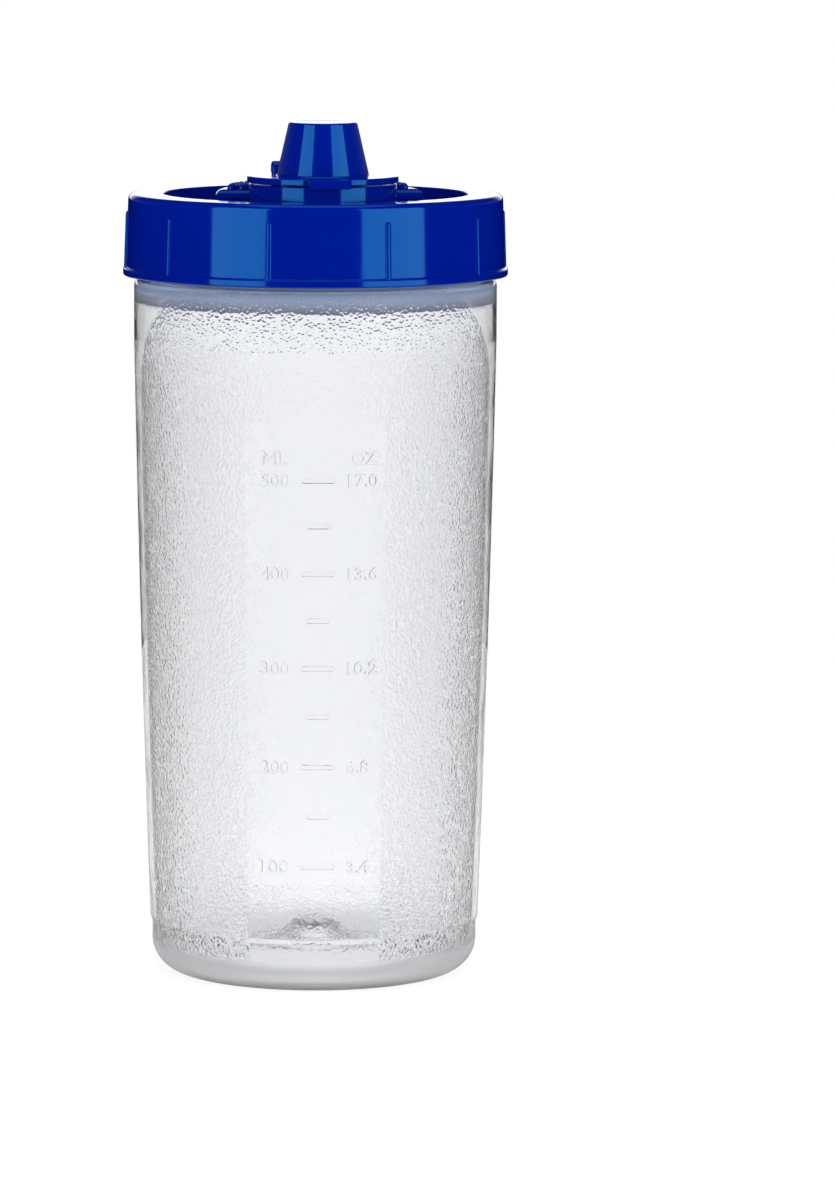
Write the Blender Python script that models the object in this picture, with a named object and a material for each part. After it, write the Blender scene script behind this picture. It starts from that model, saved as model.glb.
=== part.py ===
"""Oil dispenser bottle: a wide-mouthed translucent bottle with a screw ring, a pour insert and a flip lid.

Metres, +Z up. The origin is the centre of the circle that the bottle stands on, and the front is -Y.
The ring clamps the pour insert on the bottle's rim, over a flat gasket. The flip lid turns on a pin
behind the spout. Run with: blender --background --python part.py
"""

import math

import bmesh
import bpy
from mathutils import Matrix, Vector

MM = 0.001

# Clearances
SEAT_GAP = 0.3 * MM  # between pieces that rest on each other
THREAD_FLANK_GAP = 0.3 * MM
THREAD_TIP_GAP = 0.7 * MM  # from the neck thread's crest to the ring's bore
PLUG_GAP = 0.35 * MM
PIN_GAP = 0.2 * MM
OVERRUN = 1.0 * MM  # how far cutters pass the wall that they cut
SUNK = 0.5 * MM  # how deep a joined shape reaches into the piece that carries it

# Bottle body
BODY_HEIGHT = 158.5 * MM  # base to shoulder
SHOULDER_RADIUS = 41.2 * MM
SHOULDER_BAND = 13.5 * MM  # height of the straight band under the shoulder
FOOT_RADIUS = 37.6 * MM
SIDE_BOW = 0.28 * MM
BODY_WALL = 1.2 * MM
FLOOR_THICKNESS = 1.9 * MM
SHOULDER_ROUND = 1.3 * MM
SHOULDER_LEDGE = 2.5 * MM  # from the shoulder in to the neck
THICK_WALL = 2.4 * MM  # just under the neck, from where the wall thins to the band's foot
THICK_WALL_DROP = 5.0 * MM  # below the shoulder
NECK_BORE_DROP = 1.0 * MM  # how far the neck's bore runs on below the shoulder
HEEL_HEIGHT = 11.5 * MM
HEEL_STEP = 0.5 * MM
HEEL_STEP_HEIGHT = 1.2 * MM
HEEL_ROUND = 7.5 * MM
CONTACT_WIDTH = 3.2 * MM  # the flat ring that the bottle stands on
PUNT_RADIUS = 24.0 * MM
PUNT_HEIGHT = 11.6 * MM  # top of the push-up, inside the bottle
PUNT_SKIRT_HEIGHT = 4.4 * MM

# Neck and its thread
NECK_HEIGHT = 12.9 * MM
NECK_WALL = 1.5 * MM
RIM_ROUND = 0.4 * MM
THREAD_PITCH = 4.0 * MM
THREAD_DEPTH = 1.3 * MM
THREAD_ROOT_WIDTH = 2.2 * MM
THREAD_CREST_WIDTH = 1.0 * MM
THREAD_START = 1.8 * MM  # above the shoulder
NECK_THREAD_TURNS = 2.0
RING_THREAD_TURNS = 1.25
RING_THREAD_FIRST_TURN = 0.6  # where the ring's thread begins along the neck's helix
RING_THREAD_REACH = 1.6 * MM
THREAD_START_ANGLE = math.radians(200)
THREAD_RUN_OUT = math.radians(30)

# Gasket
GASKET_THICKNESS = 1.2 * MM
GASKET_CHAMFER = 0.2 * MM

# Screw ring
RING_HEIGHT = 18.45 * MM
RING_WALL = 1.8 * MM
RING_DRAFT = 0.55 * MM
RING_FLANGE_REACH = 0.65 * MM
RING_FLANGE_HEIGHT = 1.8 * MM
RING_FLANGE_ROUND = 0.4 * MM
RING_EDGE_ROUND = 1.4 * MM
LIP_WIDTH = 8.0 * MM
LIP_THICKNESS = 1.8 * MM
LIP_EDGE_ROUND = 0.3 * MM
COLLAR_DEPTH = 3.2 * MM
COLLAR_WIDTH = 1.7 * MM
PRESS_BEAD_WIDTH = 1.2 * MM
RIB_COUNT = 10
RIB_FIRST_ANGLE = math.radians(-104)
RIB_WIDTH = 1.4 * MM
RIB_HEIGHT = 0.5 * MM
RIB_TOP_DROP = 3.9 * MM
RIB_TAPER = 1.2 * MM

# Pour insert: dish, spout pedestal, thumb platform and nozzle
LID_TURN = math.radians(5.3)  # how far the lid is turned against the bottle's front
INSERT_FLANGE_THICKNESS = 1.3 * MM
INSERT_WALL = 1.4 * MM
RECESS_DEPTH = 7.7 * MM  # below the ring's top
PLUG_SKIRT = 12.5 * MM  # below the dish's floor
PEDESTAL_RADIUS = 16.65 * MM
PEDESTAL_HEIGHT = 3.25 * MM  # above the ring's top
PEDESTAL_FRONT_GAP = 0.6 * MM
PEDESTAL_EDGE_ROUND = 0.25 * MM
PLATFORM_RADIUS = 23.6 * MM
PLATFORM_HEIGHT = 1.45 * MM  # above the ring's top
PLATFORM_SETBACK = 8.35 * MM  # the platform's centre, behind the pedestal's
PLATFORM_FRONT = 1.5 * MM  # its flat front, forward of its own centre
PLATFORM_EDGE_ROUND = 1.8 * MM
BEAD_RADIUS = 1.1 * MM
BEAD_HEIGHT = 1.2 * MM
BEAD_PITCH = 2.5 * MM
BEAD_ROW_STEP = 2.3 * MM
BEAD_ROWS = 3
BEAD_EDGE_GAP = 0.9 * MM
NOZZLE_FOOT_RADIUS = 5.6 * MM
NOZZLE_TIP_RADIUS = 4.4 * MM
NOZZLE_BORE_RADIUS = 3.5 * MM
NOZZLE_TIP_ROUND = 0.35 * MM
VENT_RADIUS = 0.8 * MM
VENT_SETBACK = 7.3 * MM  # behind the nozzle's axis

# Flip lid, its hinge and its seal
DISC_RADIUS = 17.0 * MM
DISC_THICKNESS = 1.5 * MM
DISC_EDGE_ROUND = 0.25 * MM
CONE_HEIGHT = 11.95 * MM
CONE_FOOT_RADIUS = 10.4 * MM
CONE_TIP_RADIUS = 7.65 * MM
CONE_TIP_ROUND = 0.5 * MM
CONE_WALL = 1.3 * MM
SEAL_THICKNESS = 2.2 * MM
SEAL_ROUND = 0.3 * MM
TAB_WIDTH = 9.4 * MM
TAB_REACH = 1.7 * MM
TAB_BEVEL = 0.7 * MM
BARREL_RADIUS = 1.65 * MM
BARREL_RISE = 0.6 * MM  # the hinge axis above the disc's top
BARREL_SETBACK = 0.7 * MM  # the hinge axis behind the disc's rear edge
BARREL_LENGTH = 15.4 * MM
WEB_REACH = 1.6 * MM  # how far the web between disc and barrel runs onto the disc
HINGE_SIDE_GAP = 0.3 * MM
EAR_THICKNESS = 2.1 * MM
EAR_CAP = 0.8 * MM  # what closes each ear outside the pin
EAR_EDGE_ROUND = 0.6 * MM
PIN_RADIUS = 0.75 * MM
PIN_CHAMFER = 0.2 * MM

# Facets round each turned piece
BODY_STEPS = 56
RING_STEPS = 56
INSERT_STEPS = 48
LID_STEPS = 40
SMALL_STEPS = 16
BEAD_STEPS = 8
THREAD_STEPS = 36  # for one turn of a thread
ROUND_STEPS = 2
ROUND_FACET = 2.4 * MM

# Heights, from the base up
RIM_Z = BODY_HEIGHT + NECK_HEIGHT
GASKET_Z = RIM_Z + SEAT_GAP
INSERT_FLANGE_Z = GASKET_Z + GASKET_THICKNESS + SEAT_GAP
COLLAR_Z = INSERT_FLANGE_Z + INSERT_FLANGE_THICKNESS + SEAT_GAP
RING_TOP_Z = COLLAR_Z + COLLAR_DEPTH
RING_Z = RING_TOP_Z - RING_HEIGHT
RECESS_FLOOR_Z = RING_TOP_Z - RECESS_DEPTH
DECK_Z = RING_TOP_Z + PEDESTAL_HEIGHT
PLATFORM_Z = RING_TOP_Z + PLATFORM_HEIGHT
DISC_Z = DECK_Z + SEAT_GAP
DISC_TOP_Z = DISC_Z + DISC_THICKNESS
CONE_TOP_Z = DISC_TOP_Z + CONE_HEIGHT
SEAL_TOP_Z = CONE_TOP_Z - CONE_WALL - SEAT_GAP
NOZZLE_TOP_Z = SEAL_TOP_Z - SEAL_THICKNESS - SEAT_GAP
HINGE_Z = DISC_TOP_Z + BARREL_RISE

# Radii, from the neck out and in
NECK_RADIUS = SHOULDER_RADIUS - SHOULDER_LEDGE
MOUTH_RADIUS = NECK_RADIUS - NECK_WALL
RING_BORE_RADIUS = NECK_RADIUS + THREAD_DEPTH + THREAD_TIP_GAP
RING_THREAD_CREST_RADIUS = RING_BORE_RADIUS - RING_THREAD_REACH
RING_TOP_RADIUS = RING_BORE_RADIUS + RING_WALL
RING_FOOT_RADIUS = RING_TOP_RADIUS + RING_DRAFT
LIP_OPENING_RADIUS = RING_TOP_RADIUS - LIP_WIDTH
PLUG_RADIUS = MOUTH_RADIUS - PLUG_GAP
DISH_RADIUS = PLUG_RADIUS - INSERT_WALL

# Places along the lid's own front, forward of the ring's axis
PEDESTAL_FORWARD = LIP_OPENING_RADIUS - PEDESTAL_FRONT_GAP - PEDESTAL_RADIUS
PLATFORM_FORWARD = PEDESTAL_FORWARD - PLATFORM_SETBACK
HINGE_FORWARD = PEDESTAL_FORWARD - DISC_RADIUS - BARREL_SETBACK
EAR_INNER = BARREL_LENGTH / 2 + HINGE_SIDE_GAP
SOCKET_END = EAR_INNER + EAR_THICKNESS - EAR_CAP

# Shares of the punt's radius and height, from its top out to its skirt
PUNT_CURVE_SHARES = (
    (0.183, 1.0),
    (0.225, 0.86),
    (0.30, 0.70),
    (0.417, 0.53),
    (0.654, 0.34),
    (1.0, 0.0),
)
SIDE_SHARES = (0.25, 0.5, 0.75)
RIB_FLANK_SHARES = (0.7, 0.8)  # of the rib's height and half width

# Shares of one facet by which round shapes are turned, so that their corners miss the deck's edges
NOZZLE_TURN_SHARE = 0.25
BORE_TURN_SHARE = 0.375
VENT_TURN_SHARE = 0.25


def clear_scene():
    for old in list(bpy.data.objects):
        bpy.data.objects.remove(old, do_unlink=True)


def plastic(name, colour, roughness, transmission=0.0, ior=1.49):
    """A Principled material for a moulded piece."""
    made = bpy.data.materials.new(name)
    made.use_nodes = True
    shader = made.node_tree.nodes["Principled BSDF"]
    shader.inputs["Base Color"].default_value = (*colour, 1.0)
    shader.inputs["Roughness"].default_value = roughness
    shader.inputs["Metallic"].default_value = 0.0
    shader.inputs["IOR"].default_value = ior
    shader.inputs["Transmission Weight"].default_value = transmission
    return made


def rounded_corner(before, corner, after, radius):
    """Points of an arc that rounds one corner of a profile."""
    back = (before - corner).normalized()
    onward = (after - corner).normalized()
    half_turn = back.angle(onward) / 2
    reach = radius / math.tan(half_turn)
    centre = corner + (back + onward).normalized() * radius / math.sin(half_turn)
    start = corner + back * reach - centre
    sweep = start.angle_signed(corner + onward * reach - centre)
    steps = max(ROUND_STEPS, math.ceil(radius * abs(sweep) / ROUND_FACET))
    turns = [Matrix.Rotation(-sweep * i / steps, 2) for i in range(steps + 1)]
    return [centre + turn @ start for turn in turns]


def outline(corners):
    """A closed profile from (radius, height, rounding) corners."""
    places = [Vector(corner[:2]) for corner in corners]
    points = []
    for i, corner in enumerate(corners):
        if corner[2] == 0:
            points.append(places[i])
        else:
            points += rounded_corner(places[i - 1], places[i], places[(i + 1) % len(places)], corner[2])
    return points


def turned(points, steps):
    """A bmesh turned about Z from a closed profile in the XZ plane."""
    made = bmesh.new()
    ring = [made.verts.new((x, 0, z)) for x, z in points]
    edges = [made.edges.new((ring[i - 1], ring[i])) for i in range(len(ring))]
    axis_edges = [e for e in edges if all(v.co.x == 0 for v in e.verts)]
    bmesh.ops.delete(made, geom=axis_edges, context="EDGES")
    profile = made.verts[:] + made.edges[:]
    bmesh.ops.spin(
        made, geom=profile, cent=(0, 0, 0), axis=(0, 0, 1), angle=math.tau, steps=steps, use_merge=True
    )
    bmesh.ops.remove_doubles(made, verts=made.verts, dist=SEAT_GAP / 100)
    bmesh.ops.recalc_face_normals(made, faces=made.faces)
    return made


def shaped(name, made, material=None, place=(0, 0, 0), parent=None):
    """An object from a bmesh, smooth but for its sharp edges."""
    mesh = bpy.data.meshes.new(name)
    made.to_mesh(mesh)
    made.free()
    mesh.shade_smooth()
    mesh.set_sharp_from_angle(angle=math.radians(35))
    piece = bpy.data.objects.new(name, mesh)
    bpy.context.scene.collection.objects.link(piece)
    piece.location = place
    piece.parent = parent
    if material:
        mesh.materials.append(material)
    return piece


def combine(piece, other, operation):
    """Joins another shape to a piece, or cuts it out, and keeps that shape as a hidden helper."""
    other.hide_render = True
    other.display_type = "WIRE"
    boolean = piece.modifiers.new(operation.lower() + "_" + other.name, "BOOLEAN")
    boolean.object = other
    boolean.operation = operation
    boolean.solver = "EXACT"


def helix_ridge(root_radius, crest_radius, root_z, first_turn, turns):
    """A thread's ridge, whose crest sinks into the wall at both ends."""
    outward = math.copysign(1, crest_radius - root_radius)
    steps = round(turns * THREAD_STEPS)
    made = bmesh.new()
    rows = []
    for i in range(steps + 1):
        along = i / steps
        turn = (first_turn + turns * along) * math.tau
        middle = root_z + THREAD_PITCH * turn / math.tau
        rise = min(1, along * turns * math.tau / THREAD_RUN_OUT, (1 - along) * turns * math.tau / THREAD_RUN_OUT)
        crest = root_radius - outward * SUNK / 2 + (crest_radius - root_radius + outward * SUNK / 2) * rise
        root = root_radius - outward * SUNK
        section = (
            (root, -THREAD_ROOT_WIDTH / 2),
            (crest, -THREAD_CREST_WIDTH / 2),
            (crest, THREAD_CREST_WIDTH / 2),
            (root, THREAD_ROOT_WIDTH / 2),
        )
        angle = THREAD_START_ANGLE + turn
        rows.append(
            [made.verts.new((r * math.cos(angle), r * math.sin(angle), middle + z)) for r, z in section]
        )
    for row, after in zip(rows, rows[1:]):
        for k in range(len(row)):
            made.faces.new((row[k - 1], row[k], after[k], after[k - 1]))
    made.faces.new(rows[0])
    made.faces.new(rows[-1])
    bmesh.ops.recalc_face_normals(made, faces=made.faces)
    return made


def ridge_half_width(radius, root_radius, crest_radius):
    """Half the axial width of a thread's ridge at one radius."""
    share = (radius - root_radius) / (crest_radius - root_radius)
    return (THREAD_ROOT_WIDTH + (THREAD_CREST_WIDTH - THREAD_ROOT_WIDTH) * share) / 2


def box(low, high):
    """A bmesh block between two corners."""
    made = bmesh.new()
    size = Vector(high) - Vector(low)
    place = Matrix.Translation((Vector(low) + Vector(high)) / 2)
    bmesh.ops.create_cube(made, size=1, matrix=place @ Matrix.Diagonal((*size, 1)))
    return made


def cylinder(radius, low_z, high_z, steps):
    """A bmesh cylinder about Z."""
    made = bmesh.new()
    place = Matrix.Translation((0, 0, (low_z + high_z) / 2))
    bmesh.ops.create_cone(
        made, cap_ends=True, segments=steps, radius1=radius, radius2=radius, depth=high_z - low_z, matrix=place
    )
    return made


def facets_turned(made, steps, share):
    """Turns a round shape about Z by a share of one of its facets."""
    bmesh.ops.rotate(made, verts=made.verts, matrix=Matrix.Rotation(math.tau / steps * share, 3, "Z"))
    return made


def cut_off(made, place, direction):
    """Cuts away what lies past a plane and closes the cut."""
    everything = made.verts[:] + made.edges[:] + made.faces[:]
    cut = bmesh.ops.bisect_plane(
        made, geom=everything, plane_co=place, plane_no=direction, clear_outer=True
    )
    rims = [e for e in cut["geom_cut"] if isinstance(e, bmesh.types.BMEdge)]
    bmesh.ops.edgenet_fill(made, edges=rims)
    bmesh.ops.recalc_face_normals(made, faces=made.faces)


def along_x(made):
    """Lays a bmesh that was made about Z along X."""
    bmesh.ops.rotate(made, verts=made.verts, cent=(0, 0, 0), matrix=Matrix.Rotation(math.pi / 2, 3, "Y"))
    return made


def side_radius(share):
    """Radius of the body's outside, at a share of the way from the heel to the shoulder."""
    straight = FOOT_RADIUS + (SHOULDER_RADIUS - FOOT_RADIUS) * share
    return straight + SIDE_BOW * 4 * share * (1 - share)


def bottle_profile():
    """The body's outside from the punt to the rim, and its inside back down."""
    side_foot = HEEL_HEIGHT + HEEL_STEP_HEIGHT
    side_top = BODY_HEIGHT - SHOULDER_BAND
    side = [(side_radius(s), side_foot + (side_top - side_foot) * s, 0) for s in SIDE_SHARES]
    heel_radius = FOOT_RADIUS - HEEL_STEP
    contact = heel_radius - HEEL_ROUND
    punt_drop = PUNT_HEIGHT - PUNT_SKIRT_HEIGHT
    under = [
        ((PUNT_RADIUS - FLOOR_THICKNESS / 2) * r, PUNT_SKIRT_HEIGHT + punt_drop * h - FLOOR_THICKNESS, 0)
        for r, h in PUNT_CURVE_SHARES
    ]
    over = [(PUNT_RADIUS * r, PUNT_SKIRT_HEIGHT + punt_drop * h, 0) for r, h in PUNT_CURVE_SHARES]
    inner_heel = heel_radius - BODY_WALL
    outside = [
        (0, under[0][1], 0),
        *under,
        (contact - CONTACT_WIDTH, 0, 0),
        (heel_radius, 0, HEEL_ROUND),
        (heel_radius, HEEL_HEIGHT, 0),
        (FOOT_RADIUS, side_foot, 0),
        *side,
        (SHOULDER_RADIUS, side_top, 0),
        (SHOULDER_RADIUS, BODY_HEIGHT, SHOULDER_ROUND),
        (NECK_RADIUS, BODY_HEIGHT, 0),
        (NECK_RADIUS, RIM_Z, RIM_ROUND),
    ]
    inside = [
        (MOUTH_RADIUS, RIM_Z, RIM_ROUND),
        (MOUTH_RADIUS, BODY_HEIGHT - NECK_BORE_DROP, 0),
        (SHOULDER_RADIUS - THICK_WALL, BODY_HEIGHT - THICK_WALL_DROP, 0),
        (SHOULDER_RADIUS - BODY_WALL, side_top, 0),
        *[(r - BODY_WALL, z, 0) for r, z, _ in reversed(side)],
        (FOOT_RADIUS - BODY_WALL, side_foot, 0),
        (inner_heel, FLOOR_THICKNESS, HEEL_ROUND - BODY_WALL),
        *reversed(over),
        (0, PUNT_HEIGHT, 0),
    ]
    return outline(outside + inside)


def make_bottle(material):
    bottle = shaped("bottle_body", turned(bottle_profile(), BODY_STEPS), material)
    thread = helix_ridge(
        NECK_RADIUS, NECK_RADIUS + THREAD_DEPTH, BODY_HEIGHT + THREAD_START, 0, NECK_THREAD_TURNS
    )
    combine(bottle, shaped("neck_thread_shape", thread), "UNION")
    return bottle


def make_gasket(material):
    inner = PLUG_RADIUS + PLUG_GAP / 2
    top = GASKET_Z + GASKET_THICKNESS
    profile = outline(
        [
            (inner, GASKET_Z, 0),
            (NECK_RADIUS - GASKET_CHAMFER, GASKET_Z, 0),
            (NECK_RADIUS, GASKET_Z + GASKET_CHAMFER, 0),
            (NECK_RADIUS, top - GASKET_CHAMFER, 0),
            (NECK_RADIUS - GASKET_CHAMFER, top, 0),
            (inner, top, 0),
        ]
    )
    return shaped("neck_gasket", turned(profile, INSERT_STEPS), material)


def ring_profile():
    """The ring's section, with its collar and the bead that presses on the insert's flange."""
    flange_radius = RING_FOOT_RADIUS + RING_FLANGE_REACH
    flange_z = RING_Z + RING_FLANGE_HEIGHT
    lip_z = RING_TOP_Z - LIP_THICKNESS
    collar = LIP_OPENING_RADIUS + COLLAR_WIDTH
    bead = (MOUTH_RADIUS + NECK_RADIUS) / 2
    return outline(
        [
            (LIP_OPENING_RADIUS, RING_TOP_Z, LIP_EDGE_ROUND),
            (RING_TOP_RADIUS, RING_TOP_Z, RING_EDGE_ROUND),
            (RING_FOOT_RADIUS, flange_z, 0),
            (flange_radius, flange_z, RING_FLANGE_ROUND),
            (flange_radius, RING_Z, RING_FLANGE_ROUND),
            (RING_BORE_RADIUS, RING_Z, RING_FLANGE_ROUND),
            (RING_BORE_RADIUS, lip_z, 0),
            (bead + PRESS_BEAD_WIDTH / 2, lip_z, 0),
            (bead + PRESS_BEAD_WIDTH / 2, COLLAR_Z, 0),
            (bead - PRESS_BEAD_WIDTH / 2, COLLAR_Z, 0),
            (bead - PRESS_BEAD_WIDTH / 2, lip_z, 0),
            (collar, lip_z, 0),
            (collar, COLLAR_Z, 0),
            (LIP_OPENING_RADIUS, COLLAR_Z, 0),
        ]
    )


def ring_ribs():
    """The ring's grip ribs, each a bar with a bevelled face and a sloping top."""
    made = bmesh.new()
    top_z = RING_TOP_Z - RIB_TOP_DROP
    foot_z = RING_Z + RING_FLANGE_HEIGHT / 2
    draft = RING_DRAFT / (RING_HEIGHT - RING_FLANGE_HEIGHT)
    for i in range(RIB_COUNT):
        angle = RIB_FIRST_ANGLE + math.tau * i / RIB_COUNT
        turn = Matrix.Rotation(angle, 3, "Z")
        rows = []
        for z, proud in ((foot_z, 1), (top_z - RIB_TAPER, 1), (top_z, -1)):
            wall = RING_TOP_RADIUS + draft * (RING_TOP_Z - z)
            face = wall + RIB_HEIGHT * proud
            half = RIB_WIDTH / 2
            flank = wall + (face - wall) * RIB_FLANK_SHARES[0]
            section = (
                (wall - SUNK - RIB_HEIGHT, -half),
                (wall, -half),
                (flank, -half * RIB_FLANK_SHARES[1]),
                (face, -half / 3),
            )
            both = section + tuple((x, -y) for x, y in reversed(section))
            rows.append([made.verts.new(turn @ Vector((x, y, z))) for x, y in both])
        for row, above in zip(rows, rows[1:]):
            for k in range(len(row)):
                made.faces.new((row[k - 1], row[k], above[k], above[k - 1]))
        made.faces.new(rows[0])
        made.faces.new(rows[-1])
    bmesh.ops.recalc_face_normals(made, faces=made.faces)
    return made


def make_ring(material):
    ring = shaped("screw_ring", turned(ring_profile(), RING_STEPS), material)
    combine(ring, shaped("ring_rib_shapes", ring_ribs()), "UNION")
    neck_crest = NECK_RADIUS + THREAD_DEPTH
    apart = THREAD_FLANK_GAP + max(
        ridge_half_width(r, NECK_RADIUS, neck_crest) + ridge_half_width(r, RING_BORE_RADIUS, RING_THREAD_CREST_RADIUS)
        for r in (neck_crest, RING_THREAD_CREST_RADIUS)
    )
    thread = helix_ridge(
        RING_BORE_RADIUS,
        RING_THREAD_CREST_RADIUS,
        BODY_HEIGHT + THREAD_START - apart,
        RING_THREAD_FIRST_TURN,
        RING_THREAD_TURNS,
    )
    combine(ring, shaped("ring_thread_shape", thread), "UNION")
    return ring


def dish_profile():
    """The insert's flange, recess wall, floor and plug skirt."""
    flange_radius = RING_THREAD_CREST_RADIUS - SEAT_GAP
    flange_top = INSERT_FLANGE_Z + INSERT_FLANGE_THICKNESS
    floor_under = RECESS_FLOOR_Z - INSERT_WALL
    return outline(
        [
            (0, RECESS_FLOOR_Z, 0),
            (DISH_RADIUS, RECESS_FLOOR_Z, INSERT_WALL / 2),
            (DISH_RADIUS, flange_top, 0),
            (flange_radius, flange_top, 0),
            (flange_radius, INSERT_FLANGE_Z, 0),
            (PLUG_RADIUS, INSERT_FLANGE_Z, 0),
            (PLUG_RADIUS, floor_under - PLUG_SKIRT, INSERT_WALL / 3),
            (DISH_RADIUS, floor_under - PLUG_SKIRT, 0),
            (DISH_RADIUS, floor_under, 0),
            (0, floor_under, 0),
        ]
    )


def pedestal_shape(inset, low_z, high_z):
    """The pedestal's outside, or its hollow where inset is the wall."""
    radius = PEDESTAL_RADIUS - inset
    profile = [(0, high_z, 0), (radius, high_z, PEDESTAL_EDGE_ROUND), (radius, low_z, 0), (0, low_z, 0)]
    made = turned(outline(profile), LID_STEPS)
    bmesh.ops.translate(made, verts=made.verts, vec=(0, -PEDESTAL_FORWARD, 0))
    return made


def platform_shape(inset, low_z, high_z, edge_round):
    """The half-round platform behind the pedestal, or its hollow where inset is the wall."""
    radius = PLATFORM_RADIUS - inset
    profile = [(0, high_z, 0), (radius, high_z, edge_round), (radius, low_z, 0), (0, low_z, 0)]
    made = turned(outline(profile), LID_STEPS)
    cut_off(made, (0, inset - PLATFORM_FRONT, 0), (0, -1, 0))
    bmesh.ops.translate(made, verts=made.verts, vec=(0, -PLATFORM_FORWARD, 0))
    return made


def clear_of_ears(x, y):
    """Whether a bead at this place stays clear of both hinge ears."""
    beside = max(abs(abs(x) - EAR_INNER - EAR_THICKNESS / 2) - EAR_THICKNESS / 2, 0)
    before = max(abs(y + HINGE_FORWARD) - BARREL_RADIUS, 0)
    return math.hypot(beside, before) > BEAD_RADIUS + HINGE_SIDE_GAP


def bead_places():
    """Staggered places on arcs round the platform, clear of the pedestal, the ears and the front."""
    places = []
    outer = PLATFORM_RADIUS - PLATFORM_EDGE_ROUND - BEAD_EDGE_GAP - BEAD_RADIUS
    for row in range(BEAD_ROWS):
        radius = outer - BEAD_ROW_STEP * row
        step = BEAD_PITCH / radius
        each_side = int(math.pi / 2 / step) + 1
        for i in range(-each_side, each_side + 1):
            angle = math.pi / 2 + (i + row % 2 / 2) * step
            x = radius * math.cos(angle)
            y = radius * math.sin(angle)
            clear = math.hypot(x, y + PLATFORM_SETBACK) > PEDESTAL_RADIUS + BEAD_RADIUS
            clear = clear and clear_of_ears(x, y - PLATFORM_FORWARD)
            if clear and y > BEAD_RADIUS + PLATFORM_EDGE_ROUND - PLATFORM_FRONT:
                places.append((x, y - PLATFORM_FORWARD))
    return places


def bead_shapes():
    """Rows of low domes on the platform, clear of the pedestal and the hinge."""
    made = bmesh.new()
    ball = (BEAD_RADIUS**2 + BEAD_HEIGHT**2) / (2 * BEAD_HEIGHT)
    for x, y in bead_places():
        place = Matrix.Translation((x, y, PLATFORM_Z + BEAD_HEIGHT - ball))
        bmesh.ops.create_uvsphere(
            made, u_segments=BEAD_STEPS, v_segments=BEAD_STEPS - 2, radius=ball, matrix=place
        )
    cut_off(made, (0, 0, PLATFORM_Z - BEAD_HEIGHT / 2), (0, 0, -1))
    return made


def nozzle_profile(inset, low_z, high_z):
    """The nozzle's tapered outside, down into the deck."""
    return outline(
        [
            (0, high_z, 0),
            (NOZZLE_TIP_RADIUS - inset, high_z, NOZZLE_TIP_ROUND),
            (NOZZLE_FOOT_RADIUS - inset, low_z, 0),
            (0, low_z, 0),
        ]
    )


def ear_shapes():
    """The two hinge ears, with round tops about the hinge axis, rounded outer rims and feet in the platform."""
    made = bmesh.new()
    foot_z = PLATFORM_Z - INSERT_WALL / 2 - HINGE_Z
    for side in (-1, 1):
        section = [Vector((0, BARREL_RADIUS, foot_z)), Vector((0, -BARREL_RADIUS, foot_z))]
        for i in range(SMALL_STEPS // 2 + 1):
            angle = math.tau * i / SMALL_STEPS
            section.append(Vector((0, -BARREL_RADIUS * math.cos(angle), BARREL_RADIUS * math.sin(angle))))
        near = [made.verts.new(p + Vector((side * EAR_INNER, 0, 0))) for p in section]
        face = made.faces.new(near)
        out = bmesh.ops.extrude_face_region(made, geom=[face], use_keep_orig=True)
        moved = [v for v in out["geom"] if isinstance(v, bmesh.types.BMVert)]
        bmesh.ops.translate(made, verts=moved, vec=(side * EAR_THICKNESS, 0, 0))
        rim = {e for v in moved for e in v.link_edges if e.other_vert(v) in moved}
        bmesh.ops.bevel(
            made,
            geom=list(rim),
            offset=EAR_EDGE_ROUND,
            segments=2,
            profile=0.5,
            affect="EDGES",
            material=-1,
        )
    bmesh.ops.translate(made, verts=made.verts, vec=(0, -HINGE_FORWARD, HINGE_Z))
    bmesh.ops.recalc_face_normals(made, faces=made.faces)
    return made


def insert_hollow(lid_frame):
    """What is open under the pedestal and the platform, with the nozzle's bore and the air vent."""
    low = RECESS_FLOOR_Z - INSERT_WALL - OVERRUN
    pedestal = pedestal_shape(INSERT_WALL, low, DECK_Z - INSERT_WALL)
    hollow = shaped("pedestal_hollow", pedestal, parent=lid_frame)
    platform = platform_shape(INSERT_WALL, low, PLATFORM_Z - INSERT_WALL, PLATFORM_EDGE_ROUND / 2)
    bore_low = DECK_Z - INSERT_WALL - OVERRUN
    bore_steps = LID_STEPS // 2
    bore = cylinder(NOZZLE_BORE_RADIUS, bore_low, NOZZLE_TOP_Z + OVERRUN, bore_steps)
    bore = facets_turned(bore, bore_steps, BORE_TURN_SHARE)
    vent = cylinder(VENT_RADIUS, bore_low, DECK_Z + OVERRUN, BEAD_STEPS)
    vent = facets_turned(vent, BEAD_STEPS, VENT_TURN_SHARE)
    for name, made, forward in (
        ("platform_hollow", platform, 0),
        ("spout_bore", bore, PEDESTAL_FORWARD),
        ("vent_bore", vent, PEDESTAL_FORWARD - VENT_SETBACK),
    ):
        combine(hollow, shaped(name, made, place=(0, -forward, 0), parent=lid_frame), "UNION")
    return hollow


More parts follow.
